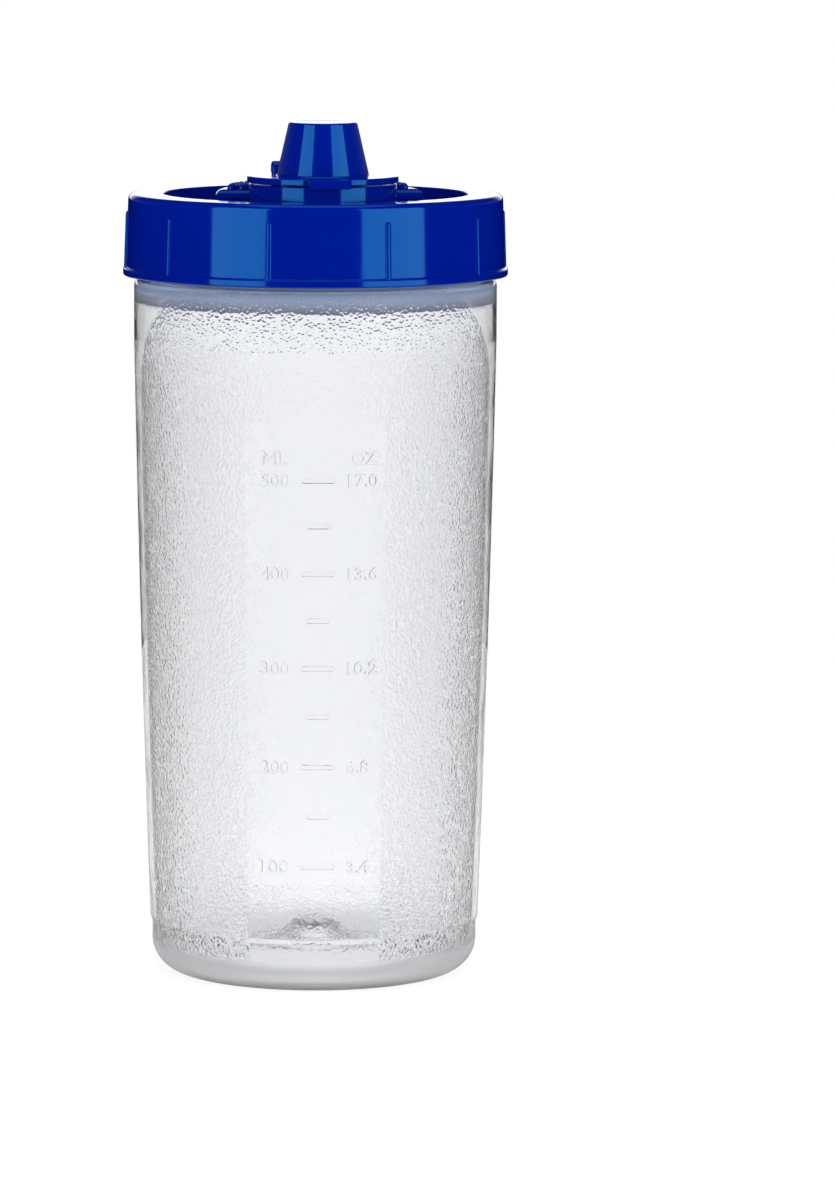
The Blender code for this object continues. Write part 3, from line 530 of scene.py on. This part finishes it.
    # shallower pebbles towards the top, and in the thick shoulder a bluish painted shade (the blue lid's
    # shadow seen through the wall) over the thick wall's real haze
    shoulder = add(tree, "ShaderNodeMapRange", {
        "Value": z, "From Min": 153 * MM, "From Max": 156.5 * MM, "To Min": 0.0, "To Max": 1.0,
    }).outputs["Result"]
    upper = add(tree, "ShaderNodeMapRange", {
        "Value": z, "From Min": 136 * MM, "From Max": 149 * MM, "To Min": 1.0, "To Max": 0.5,
    }).outputs["Result"]
    worn = add(tree, "ShaderNodeMath", {
        0: shoulder, 1: -0.15, 2: upper,
    }, operation="MULTIPLY_ADD").outputs[0]
    tall = add(tree, "ShaderNodeMath", {0: tall, 1: worn}, operation="MULTIPLY").outputs[0]
    # painted shade: the base colour turns bluish grey in the shoulder band, under the blue lid
    tone_with_shoulder_shade = add(tree, "ShaderNodeMix", {
        "Factor": shoulder, 6: tone.outputs[2], 7: linear("C0D0EA"),
    }, data_type="RGBA").outputs[2]
    # the heel is thick too: hazy
    base = add(tree, "ShaderNodeMapRange", {
        "Value": z, "From Min": 6 * MM, "From Max": 10.5 * MM, "To Min": 1.0, "To Max": 0.0,
    }).outputs["Result"]
    rim = add(tree, "ShaderNodeMapRange", {
        "Value": reach, "From Min": 29 * MM, "From Max": 33 * MM, "To Min": 0.0, "To Max": 1.0,
    }).outputs["Result"]
    base = add(tree, "ShaderNodeMath", {0: base, 1: rim}, operation="MULTIPLY").outputs[0]
    clear = add(tree, "ShaderNodeMath", {
        0: shoulder, 1: -0.38, 2: 0.95,
    }, operation="MULTIPLY_ADD").outputs[0]
    clear = add(tree, "ShaderNodeMath", {0: base, 1: -0.22, 2: clear}, operation="MULTIPLY_ADD").outputs[0]
    haze = add(tree, "ShaderNodeMath", {0: base, 1: 0.35, 2: 0.05}, operation="MULTIPLY_ADD").outputs[0]
    ripple = add(tree, "ShaderNodeBump", {
        "Height": flow.outputs["Fac"], "Strength": 0.25, "Distance": 0.3 * MM,
    })
    bump = add(tree, "ShaderNodeBump", {
        "Height": tall, "Strength": 1.0, "Distance": PEBBLE_HEIGHT * MM,
        "Normal": ripple.outputs["Normal"],
    })
    shader = add(tree, "ShaderNodeBsdfPrincipled", {
        "Base Color": tone_with_shoulder_shade,
        "Roughness": haze,
        "Normal": bump.outputs["Normal"],
        "IOR": 1.49,
        "Transmission Weight": clear,
        "Specular Tint": linear("787878"),
    })
    add(tree, "ShaderNodeOutputMaterial", {"Surface": shader.outputs[0]})
    return made


# ---------------------------------------------------------------- bottle

def side_radius(share):
    straight = FOOT_RADIUS + (SHOULDER_RADIUS - FOOT_RADIUS) * share
    return straight + SIDE_BOW * 4 * share * (1 - share)


def bottle_corners():
    """The bottle's section: under the base, up the outside, over the mouth and down the inside."""
    side_foot = HEEL_HEIGHT + HEEL_STEP_HEIGHT
    side_top = BODY_HEIGHT - SHOULDER_BAND
    shares = [i / SIDE_ROWS for i in range(1, SIDE_ROWS)]
    side = [(side_radius(s), side_foot + (side_top - side_foot) * s, 0) for s in shares]
    heel_radius = FOOT_RADIUS - HEEL_STEP
    drop = PUNT_HEIGHT - PUNT_SKIRT_HEIGHT
    under = [
        ((PUNT_RADIUS - FLOOR_THICKNESS / 2) * r, PUNT_SKIRT_HEIGHT + drop * h - FLOOR_THICKNESS, w)
        for (r, h), w in zip(PUNT_CURVE, PUNT_ROUNDS)
    ]
    over = [
        (PUNT_RADIUS * r, PUNT_SKIRT_HEIGHT + drop * h, w) for (r, h), w in zip(PUNT_CURVE, PUNT_ROUNDS)
    ]
    return [
        (0, under[0][1], 0),
        *under,
        (heel_radius - HEEL_ROUND - CONTACT_WIDTH, 0, 2),
        (heel_radius, 0, HEEL_ROUND),
        (heel_radius, HEEL_HEIGHT, 0.3),
        (FOOT_RADIUS, side_foot, 0.5),
        *side,
        (SHOULDER_RADIUS, side_top, 0),
        (SHOULDER_RADIUS, BODY_HEIGHT, SHOULDER_ROUND),
        (NECK_RADIUS, BODY_HEIGHT, 0.5),
        (NECK_RADIUS, RIM_Z, 0.4),
        (MOUTH_RADIUS, RIM_Z, 0.4),
        (MOUTH_RADIUS, BODY_HEIGHT - MOUTH_FOOT_DROP, 1),
        (SHOULDER_RADIUS - THICK_WALL, BODY_HEIGHT - THICK_WALL_DROP, 1),
        (SHOULDER_RADIUS - BODY_WALL, side_top, 1),
        *[(r - BODY_WALL, z, 0) for r, z, _ in reversed(side)],
        (FOOT_RADIUS - BODY_WALL, side_foot, 0.5),
        (heel_radius - BODY_WALL, FLOOR_THICKNESS, HEEL_ROUND - BODY_WALL),
        *reversed(over),
        (0, PUNT_HEIGHT, 0),
    ]


def scale_text(made, words, x, z, width):
    """Raised figures on the front wall, fitted to a width and bent to the wall's curve."""
    curve = bpy.data.curves.new("figures", "FONT")
    curve.body = words
    curve.size = 4.0  # any size: the width and height are set below
    curve.align_x = "CENTER"
    curve.extrude = FIGURE_RISE - FIGURE_EDGE / 2
    curve.bevel_depth = FIGURE_EDGE
    curve.bevel_resolution = 1
    curve.offset = -FIGURE_EDGE / 2
    curve.resolution_u = 4
    thing = bpy.data.objects.new("figures", curve)
    bpy.context.scene.collection.objects.link(thing)
    graph = bpy.context.evaluated_depsgraph_get()
    mesh = bpy.data.meshes.new_from_object(thing.evaluated_get(graph))
    old = set(made.verts)
    made.from_mesh(mesh)
    new = [v for v in made.verts if v not in old]
    low = Vector([min(v.co[i] for v in new) for i in range(2)])
    high = Vector([max(v.co[i] for v in new) for i in range(2)])
    middle = (low + high) / 2
    for v in new:
        v.co.x = x + (v.co.x - middle.x) * width / (high.x - low.x)
        v.co.y = z + (v.co.y - middle.y) * FIGURE_HEIGHT / (high.y - low.y)
    bmesh.ops.remove_doubles(made, verts=new, dist=0.001)
    bend_on_wall([v for v in made.verts if v not in old])
    bpy.data.objects.remove(thing)
    bpy.data.meshes.remove(mesh)


def wall_radius(z):
    side_foot = HEEL_HEIGHT + HEEL_STEP_HEIGHT
    side_top = BODY_HEIGHT - SHOULDER_BAND
    return side_radius(max(0, min(1, (z - side_foot) / (side_top - side_foot))))


def bend_on_wall(verts):
    """Lays points given as (across, up, proud) millimetres on the bottle's front."""
    for v in verts:
        across, up, proud = v.co
        radius = wall_radius(up)
        angle = across / radius - math.pi / 2
        radius += proud
        v.co = Vector((radius * math.cos(angle), radius * math.sin(angle), up)) * MM


def scale_bar(made, z, length):
    """One raised bar with round ends and sloping edges."""
    half = length / 2 - BAR_HEIGHT / 2
    old = set(made.verts)
    places = []
    for side in (1, -1):
        for i in range(BAR_END_STEPS + 1):
            angle = math.radians(-90 + 180 * i / BAR_END_STEPS)
            across = side * (half + BAR_HEIGHT / 2 * math.cos(angle))
            places.append((BAR_X + across, z + side * BAR_HEIGHT / 2 * math.sin(angle)))
    face = made.faces.new([made.verts.new((across, up, -BAR_SINK)) for across, up in places])
    out = bmesh.ops.extrude_face_region(made, geom=[face], use_keep_orig=True)
    raised = [v for v in out["geom"] if isinstance(v, bmesh.types.BMVert)]
    bmesh.ops.translate(made, verts=raised, vec=(0, 0, BAR_SINK))
    top = [f for f in out["geom"] if isinstance(f, bmesh.types.BMFace)]
    bmesh.ops.inset_region(made, faces=top, thickness=FIGURE_EDGE, depth=0.0)
    crest = {v for f in top for v in f.verts}
    bmesh.ops.translate(made, verts=list(crest), vec=(0, 0, FIGURE_RISE))
    new = [v for v in made.verts if v not in old]
    bmesh.ops.recalc_face_normals(made, faces=list({f for v in new for f in v.link_faces}))
    bend_on_wall(new)


def make_bottle(material):
    made = bmesh.new()
    turned(made, bottle_corners())
    raised = bmesh.new()
    start = math.radians(THREAD_START)
    helix(raised, NECK_RADIUS, NECK_RADIUS + THREAD_DEPTH, THREAD_Z, start, THREAD_TURNS)
    for _, _, z in SCALE_ROWS:
        scale_bar(raised, z, LONG_BAR)
    for z in SHORT_BARS:
        scale_bar(raised, z, SHORT_BAR)
    figures = bmesh.new()
    for head in SCALE_HEADS:
        scale_text(figures, *head)
    for millilitres, ounces, z in SCALE_ROWS:
        scale_text(figures, millilitres, MILLILITRES_X, z, MILLILITRES_WIDTH)
        across, width = OUNCES[len(ounces)]
        scale_text(figures, ounces, across, z, width)
    whole = joined(joined(made, raised), figures)
    bottle = piece("bottle", whole, material, "bottle", "bottle_body", sharp=30, even=False)


# ---------------------------------------------------------------- screw ring

def make_ring(material):
    made = bmesh.new()
    flange_z = RING_Z + RING_FLANGE_HEIGHT
    lip_z = RING_TOP_Z - LIP_THICKNESS
    collar = LIP_OPENING_RADIUS + COLLAR_WALL
    turned(made, [
        (LIP_OPENING_RADIUS, RING_TOP_Z, 0.3),
        (RING_TOP_RADIUS, RING_TOP_Z, RING_EDGE_ROUND),
        (RING_FOOT_RADIUS, flange_z, 0.3),
        (RING_FLANGE_RADIUS, flange_z, 0.4),
        (RING_FLANGE_RADIUS, RING_Z, 0.4),
        (RING_BORE_RADIUS, RING_Z, 0.4),
        (RING_BORE_RADIUS, lip_z, 0.4),
        (PRESS_BEAD_OUTER, lip_z, 0),
        (PRESS_BEAD_OUTER, COLLAR_Z, 0),
        (PRESS_BEAD_INNER, COLLAR_Z, 0),
        (PRESS_BEAD_INNER, lip_z, 0),
        (collar, lip_z, 0),
        (collar, COLLAR_Z, 0.2),
        (LIP_OPENING_RADIUS, COLLAR_Z, 0.2),
    ])
    draft = (RING_FOOT_RADIUS - RING_TOP_RADIUS) / (RING_TOP_Z - flange_z)
    foot_z = RING_Z + RING_FLANGE_HEIGHT / 2
    for i in range(RIB_COUNT):
        rib = bmesh.ops.create_uvsphere(made, u_segments=24, v_segments=12, radius=1.0)["verts"]
        for v in rib:
            z = RIB_TOP_Z + (v.co.z - 1) * RIB_CROWN if v.co.z > 0.001 else foot_z
            wall = RING_TOP_RADIUS + draft * (RING_TOP_Z - z)
            v.co = Vector((wall + v.co.x * RIB_PROUD, v.co.y * RIB_WIDTH / 2, z)) * MM
        turn = Matrix.Rotation(math.radians(RIB_FIRST_ANGLE + 360 * i / RIB_COUNT), 3, "Z")
        bmesh.ops.rotate(made, verts=rib, matrix=turn)
    start = math.radians(THREAD_START) + RING_THREAD_PHASE * math.tau
    helix(made, RING_BORE_RADIUS, RING_THREAD_CREST, RING_THREAD_Z, start, RING_THREAD_TURNS)
    ring = piece("screw_ring_shell", made, material, "ring", "screw_ring")


# ---------------------------------------------------------------- pour insert

def make_insert(material):
    made = bmesh.new()
    under = RECESS_FLOOR_Z - INSERT_WALL
    turned(made, [
        (0, RECESS_FLOOR_Z, 0),
        (DISH_RADIUS, RECESS_FLOOR_Z, 0.7),
        (DISH_RADIUS, FLANGE_TOP_Z, 0.3),
        (FLANGE_RADIUS, FLANGE_TOP_Z, 0.1),
        (FLANGE_RADIUS, FLANGE_Z, 0.1),
        (PLUG_RADIUS, FLANGE_Z, 0.1),
        (PLUG_RADIUS, PLUG_FOOT_Z, 0.4),
        (DISH_RADIUS, PLUG_FOOT_Z, 0.1),
        (DISH_RADIUS, under, 0.5),
        (0, under, 0),
    ])
    # pedestal and nozzle in one section, with the bore
    sunk = RECESS_FLOOR_Z - INSERT_WALL / 2
    ceiling = DECK_Z - INSERT_WALL
    turned(made, [
        (NOZZLE_BORE_RADIUS, NOZZLE_TOP_Z, 0.3),
        (NOZZLE_TIP_RADIUS, NOZZLE_TOP_Z, 0.35),
        (NOZZLE_FOOT_RADIUS, DECK_Z, 0.4),
        (VENT_SETBACK - VENT_RADIUS - VENT_MARGIN, DECK_Z, 0),
        (VENT_SETBACK + VENT_RADIUS + VENT_MARGIN, DECK_Z, 0),
        (PEDESTAL_RADIUS, DECK_Z, 0.25),
        (PEDESTAL_RADIUS, sunk, 0),
        (PEDESTAL_RADIUS - INSERT_WALL, sunk, 0),
        (PEDESTAL_RADIUS - INSERT_WALL, ceiling, 0.5),
        (NOZZLE_BORE_RADIUS, ceiling, 0.3),
    ], SMALL_STEPS, (0, -PEDESTAL_FORWARD))
    vent_hole(made)
    # platform: a half-round plate on walls
    reach = math.asin(PLATFORM_FRONT / PLATFORM_RADIUS)
    places = []
    for i in range(PLATFORM_STEPS + 1):
        angle = -reach + (math.pi + 2 * reach) * i / PLATFORM_STEPS
        y = PLATFORM_RADIUS * math.sin(angle) - PLATFORM_FORWARD
        places.append((PLATFORM_RADIUS * math.cos(angle), y))
    verts = plate(made, places, sunk, PLATFORM_Z)
    top = [v for v in verts if v.co.z > (PLATFORM_Z - 0.1) * MM]
    bevelled(made, top, lambda e: all(v in top for v in e.verts), PLATFORM_EDGE_ROUND, 6)
    for x, y in bead_places():
        dome = bmesh.ops.create_uvsphere(made, u_segments=16, v_segments=10, radius=1.0)
        for v in dome["verts"]:
            v.co = Vector((
                x + v.co.x * BEAD_RADIUS, y + v.co.y * BEAD_RADIUS, PLATFORM_Z + v.co.z * BEAD_HEIGHT,
            )) * MM
    for side in (-1, 1):
        foot = PLATFORM_Z - EAR_SINK - HINGE_Z
        section = [(BARREL_RADIUS, foot), (-BARREL_RADIUS, foot)]
        for i in range(EAR_STEPS + 1):
            angle = math.pi * i / EAR_STEPS
            section.append((-BARREL_RADIUS * math.cos(angle), BARREL_RADIUS * math.sin(angle)))
        old = set(made.verts)
        face = made.faces.new([
            made.verts.new(Vector((side * EAR_INNER, HINGE_BACK + y, HINGE_Z + z)) * MM)
            for y, z in section
        ])
        out = bmesh.ops.extrude_face_region(made, geom=[face], use_keep_orig=True)
        moved = [v for v in out["geom"] if isinstance(v, bmesh.types.BMVert)]
        bmesh.ops.translate(made, verts=moved, vec=(side * EAR_THICKNESS * MM, 0, 0))
        new = clean(made, old)
        face_x = side * (EAR_INNER + EAR_THICKNESS) * MM
        bevelled(made, new, lambda e: all(abs(v.co.x - face_x) < 0.00001 for v in e.verts), EAR_ROUND, 4)
    insert = piece("pour_insert_moulding", made, material, "lid_base", "pour_insert", lid=True)


def vent_hole(made):
    """The air vent: a small round hole in the deck, behind the nozzle."""
    centre = Vector((0, VENT_SETBACK - PEDESTAL_FORWARD)) * MM
    reach = (VENT_RADIUS + VENT_MARGIN + 0.05) * MM
    strip = [
        f for f in made.faces
        if f.normal.z > 0.99
        and abs(f.calc_center_median().z - DECK_Z * MM) < 0.00001
        and (f.calc_center_median().xy - centre).length < reach
    ]
    deck = bmesh.ops.dissolve_faces(made, faces=strip, use_verts=False)["region"][0]
    bmesh.ops.inset_region(made, faces=[deck], thickness=0.1 * MM, depth=0.0)
    for v in deck.verts:
        v.co.xy = centre + (v.co.xy - centre).normalized() * VENT_RADIUS * MM
    out = bmesh.ops.extrude_face_region(made, geom=[deck])
    sunk = [v for v in out["geom"] if isinstance(v, bmesh.types.BMVert)]
    bmesh.ops.translate(made, verts=sunk, vec=(0, 0, -VENT_DEPTH * MM))
    if deck.is_valid:
        made.faces.remove(deck)


def clear_of_ears(x, y):
    beside = max(abs(abs(x) - EAR_INNER - EAR_THICKNESS / 2) - EAR_THICKNESS / 2, 0)
    before = max(abs(y - HINGE_BACK) - BARREL_RADIUS, 0)
    return math.hypot(beside, before) > BEAD_RADIUS + BEAD_EAR_GAP


def bead_places():
    places = []
    outer = PLATFORM_RADIUS - PLATFORM_EDGE_ROUND - BEAD_EDGE_GAP - BEAD_RADIUS
    for row in range(BEAD_ROWS):
        radius = outer - BEAD_ROW_STEP * row
        step = BEAD_PITCH / radius
        each_side = int(math.pi / 2 / step) + 1
        for i in range(-each_side, each_side + 1):
            angle = math.pi / 2 + (i + row % 2 / 2) * step
            x = radius * math.cos(angle)
            y = radius * math.sin(angle)
            away = math.hypot(x, y + PEDESTAL_FORWARD - PLATFORM_FORWARD)
            clear = away > PEDESTAL_RADIUS + BEAD_RADIUS and clear_of_ears(x, y - PLATFORM_FORWARD)
            if clear and y > BEAD_RADIUS + PLATFORM_EDGE_ROUND - PLATFORM_FRONT:
                places.append((x, y - PLATFORM_FORWARD))
    return places


# ---------------------------------------------------------------- flip lid

def cone_radius(z):
    share = (z - DISC_TOP_Z) / (CONE_TOP_Z - DISC_TOP_Z)
    return CONE_FOOT_RADIUS + (CONE_TIP_RADIUS - CONE_FOOT_RADIUS) * share


def make_lid(material):
    made = bmesh.new()
    ceiling = CONE_TOP_Z - CONE_WALL
    turned(made, [
        (0, CONE_TOP_Z, 0),
        (CONE_TIP_RADIUS, CONE_TOP_Z, 0.5),
        (CONE_FOOT_RADIUS, DISC_TOP_Z, 0.4),
        (DISC_RADIUS, DISC_TOP_Z, 0.3),
        (DISC_RADIUS, DISC_Z, 0.25),
        (cone_radius(DISC_Z) - CONE_WALL, DISC_Z, 0.2),
        (cone_radius(ceiling) - CONE_WALL, ceiling, 0.5),
        (0, ceiling, 0),
    ], SMALL_STEPS, (0, -PEDESTAL_FORWARD))
    half = TAB_WIDTH / 2
    front = -DISC_RADIUS - TAB_REACH - PEDESTAL_FORWARD
    back = front + TAB_REACH + TAB_OVERLAP
    verts = plate(made, [
        (half - TAB_CHAMFER, front), (half, front + TAB_CHAMFER), (half, back),
        (-half, back), (-half, front + TAB_CHAMFER), (TAB_CHAMFER - half, front),
    ], DISC_Z - TAB_DROP, DISC_TOP_Z)
    # the drop is in front of the disc only
    lip = (front + TAB_REACH - TAB_LIP_GAP) * MM
    for v in verts:
        if v.co.y > lip and v.co.z < DISC_Z * MM:
            v.co.y = lip
    bevelled(made, verts, lambda e: abs(e.verts[0].co.z - e.verts[1].co.z) < 0.0001, 0.2, 3)
    axis = Matrix.Translation(Vector((0, HINGE_BACK, HINGE_Z)) * MM) @ Matrix.Rotation(math.pi / 2, 4, "Y")
    barrel = bmesh.ops.create_cone(
        made, cap_ends=True, segments=HINGE_STEPS, radius1=BARREL_RADIUS * MM,
        radius2=BARREL_RADIUS * MM, depth=BARREL_LENGTH * MM, matrix=axis,
    )["verts"]
    bevelled(made, barrel, lambda e: abs(e.verts[0].co.x - e.verts[1].co.x) < 0.0001, 0.2, 2)
    # web between the barrel and the disc
    web_front = HINGE_BACK - BARREL_RADIUS - WEB_SETBACK
    old = set(made.verts)
    out = bmesh.ops.create_cube(made, size=1.0)
    for v in out["verts"]:
        y = HINGE_BACK if v.co.y > 0 else web_front
        high = HINGE_Z + WEB_RISE if v.co.y > 0 else DISC_TOP_Z - WEB_SINK
        x = math.copysign(BARREL_LENGTH / 2 - WEB_SIDE_GAP, v.co.x)
        v.co = Vector((x, y, high if v.co.z > 0 else DISC_Z + WEB_FOOT)) * MM
    clean(made, old)
    lid = piece("flip_lid_moulding", made, material, "lid", "flip_lid", lid=True)


def make_pin(material):
    """The hinge pin, blind in both ears."""
    made = bmesh.new()
    end = EAR_INNER + EAR_THICKNESS - EAR_CAP - PIN_END_GAP
    turned(made, [
        (0, end, 0),
        (PIN_RADIUS, end, PIN_CHAMFER),
        (PIN_RADIUS, -end, PIN_CHAMFER),
        (0, -end, 0),
    ], HINGE_STEPS)
    bmesh.ops.rotate(made, verts=made.verts, matrix=Matrix.Rotation(math.pi / 2, 3, "Y"))
    bmesh.ops.translate(made, verts=made.verts, vec=Vector((0, HINGE_BACK, HINGE_Z)) * MM)
    pin = piece("hinge_pin_turned", made, material, "lid_base", "hinge_pin", lid=True)


# ---------------------------------------------------------------- studio

def make_floor():
    made = bmesh.new()
    bmesh.ops.create_circle(made, cap_ends=True, segments=96, radius=0.55)
    mesh = bpy.data.meshes.new("floor")
    made.to_mesh(mesh)
    made.free()
    floor = bpy.data.objects.new("floor", mesh)
    bpy.context.scene.collection.objects.link(floor)
    material, tree = new_material("floor_paint")
    path = add(tree, "ShaderNodeLightPath")
    seen = add(tree, "ShaderNodeMath", {
        0: path.outputs["Is Camera Ray"], 1: path.outputs["Is Transmission Ray"],
    }, operation="MAXIMUM")
    tone = add(tree, "ShaderNodeMix", {
        "Factor": seen.outputs[0], 6: (0.8, 0.8, 0.8, 1), 7: (0.35, 0.35, 0.35, 1),
    }, data_type="RGBA")
    paint = add(tree, "ShaderNodeBsdfDiffuse", {"Color": tone.outputs[2]})
    # seen through the wall, the floor glows brighter around the base: a painted pool of light
    place = add(tree, "ShaderNodeTexCoord").outputs["Object"]
    away = add(tree, "ShaderNodeVectorMath", {0: place}, operation="LENGTH").outputs["Value"]
    glow_around_base = add(tree, "ShaderNodeMapRange", {
        "Value": away, "From Min": 0.1, "From Max": 0.4, "To Min": 0.12, "To Max": -0.08,
    }).outputs["Result"]
    through = add(tree, "ShaderNodeMath", {
        0: path.outputs["Is Transmission Ray"], 1: glow_around_base, 2: seen.outputs[0],
    }, operation="MULTIPLY_ADD")
    glow = add(tree, "ShaderNodeEmission", {"Strength": through.outputs[0]})
    glow.inputs["Color"].default_value = (0.8, 0.8, 0.8, 1)
    both = add(tree, "ShaderNodeAddShader", {0: paint.outputs[0], 1: glow.outputs[0]})
    add(tree, "ShaderNodeOutputMaterial", {"Surface": both.outputs[0]})
    mesh.materials.append(material)


def make_world():
    world = bpy.data.worlds.new("studio")
    bpy.context.scene.world = world
    world.use_nodes = True
    tree = world.node_tree
    tree.nodes.clear()
    path = add(tree, "ShaderNodeLightPath")
    way = add(tree, "ShaderNodeTexCoord").outputs["Generated"]
    across, ahead, height = add(tree, "ShaderNodeSeparateXYZ", {"Vector": way}).outputs
    # through the clear wall: white behind, dusk above and to the sides
    shade = add(tree, "ShaderNodeMapRange", {
        "Value": height, "From Min": 0.25, "From Max": 0.6, "To Min": 1.03, "To Max": 0.45,
    }).outputs["Result"]
    above = add(tree, "ShaderNodeMapRange", {
        "Value": height, "From Min": 0.02, "From Max": 0.055, "To Min": 0.0, "To Max": 1.0,
    }).outputs["Result"]
    # the pale backdrop stands behind only, so the sides of the blue pieces keep their colour
    aside = add(tree, "ShaderNodeMath", {0: across}, operation="ABSOLUTE").outputs[0]
    aside = add(tree, "ShaderNodeMath", {0: aside, 1: ahead}, operation="SUBTRACT").outputs[0]
    backdrop = add(tree, "ShaderNodeMapRange", {
        "Value": aside, "From Min": -0.75, "From Max": -0.45, "To Min": 1.0, "To Max": 0.05,
    }).outputs["Result"]
    dusk = add(tree, "ShaderNodeMapRange", {
        "Value": aside, "From Min": -0.4, "From Max": 0.7, "To Min": 1.0, "To Max": 0.45,
    }).outputs["Result"]
    shade = add(tree, "ShaderNodeMath", {0: shade, 1: dusk}, operation="MULTIPLY").outputs[0]
    # the pale surroundings that the glossy tops mirror: brightest near the horizon
    glare = add(tree, "ShaderNodeMapRange", {
        "Value": height, "From Min": 0.12, "From Max": 0.3, "To Min": 1.7, "To Max": 0.08,
    }).outputs["Result"]
    mirror = add(tree, "ShaderNodeMath", {0: glare, 1: above}, operation="MULTIPLY").outputs[0]
    mirror = add(tree, "ShaderNodeMath", {0: mirror, 1: backdrop}, operation="MULTIPLY").outputs[0]
    # the soft light of the room on matt surfaces
    ambient = 0.5
    level = add(tree, "ShaderNodeMix", {
        "Factor": path.outputs["Is Glossy Ray"], 2: ambient, 3: mirror,
    })
    level = add(tree, "ShaderNodeMix", {
        "Factor": path.outputs["Is Transmission Ray"], 2: level.outputs[0], 3: shade,
    })
    level = add(tree, "ShaderNodeMix", {
        "Factor": path.outputs["Is Camera Ray"], 2: level.outputs[0], 3: 1.0,
    })
    light = add(tree, "ShaderNodeBackground", {"Strength": level.outputs[0]})
    light.inputs["Color"].default_value = (1, 1, 1, 1)
    add(tree, "ShaderNodeOutputWorld", {"Surface": light.outputs[0]})


def lamp(name, azimuth, elevation, distance, width, height, power, target=(0, 0, 0.12)):
    """A softbox that faces the object. Azimuth is from the front, towards +X."""
    data = bpy.data.lights.new(name, "AREA")
    data.shape = "RECTANGLE"
    data.size = width
    data.size_y = height
    data.energy = power
    thing = bpy.data.objects.new(name, data)
    bpy.context.scene.collection.objects.link(thing)
    a, e = math.radians(azimuth), math.radians(elevation)
    away = Vector((math.sin(a) * math.cos(e), -math.cos(a) * math.cos(e), math.sin(e)))
    thing.location = Vector(target) + away * distance
    thing.rotation_euler = (-away).to_track_quat("-Z", "Y").to_euler()
    thing.visible_camera = False
    # the softboxes don't shine through the clear wall towards the eye
    thing.visible_transmission = False


def make_lamps():
    lamp("left_softbox", -47, 10, 1.15, 0.74, 0.85, 5.1)
    lamp("right_softbox", 48, 10, 1.15, 0.86, 0.85, 6.0)
    lamp("top_softbox", 0, 85, 1.2, 1.0, 1.0, 2.5)


def make_camera():
    data = bpy.data.cameras.new("camera")
    data.lens = 198.4
    data.sensor_width = 36
    data.shift_x = 0.0840
    data.clip_start = 0.05
    data.clip_end = 20
    thing = bpy.data.objects.new("camera", data)
    bpy.context.scene.collection.objects.link(thing)
    thing.location = (0, -1.5, 0.2705)
    thing.rotation_euler = (math.radians(82.950), math.radians(-0.14), 0)
    bpy.context.scene.camera = thing


make_camera()
blue = blue_polypropylene()
rubber = silicone()
make_bottle(natural_polypropylene())
make_ring(blue)
make_insert(blue)
make_lid(blue)
make_pin(blue)
for name in ("neck_gasket", "spout_seal"):
    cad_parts[name].data.materials.clear()
    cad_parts[name].data.materials.append(rubber)
make_floor()
make_world()
make_lamps()
bpy.context.scene.view_settings.view_transform = "Standard"
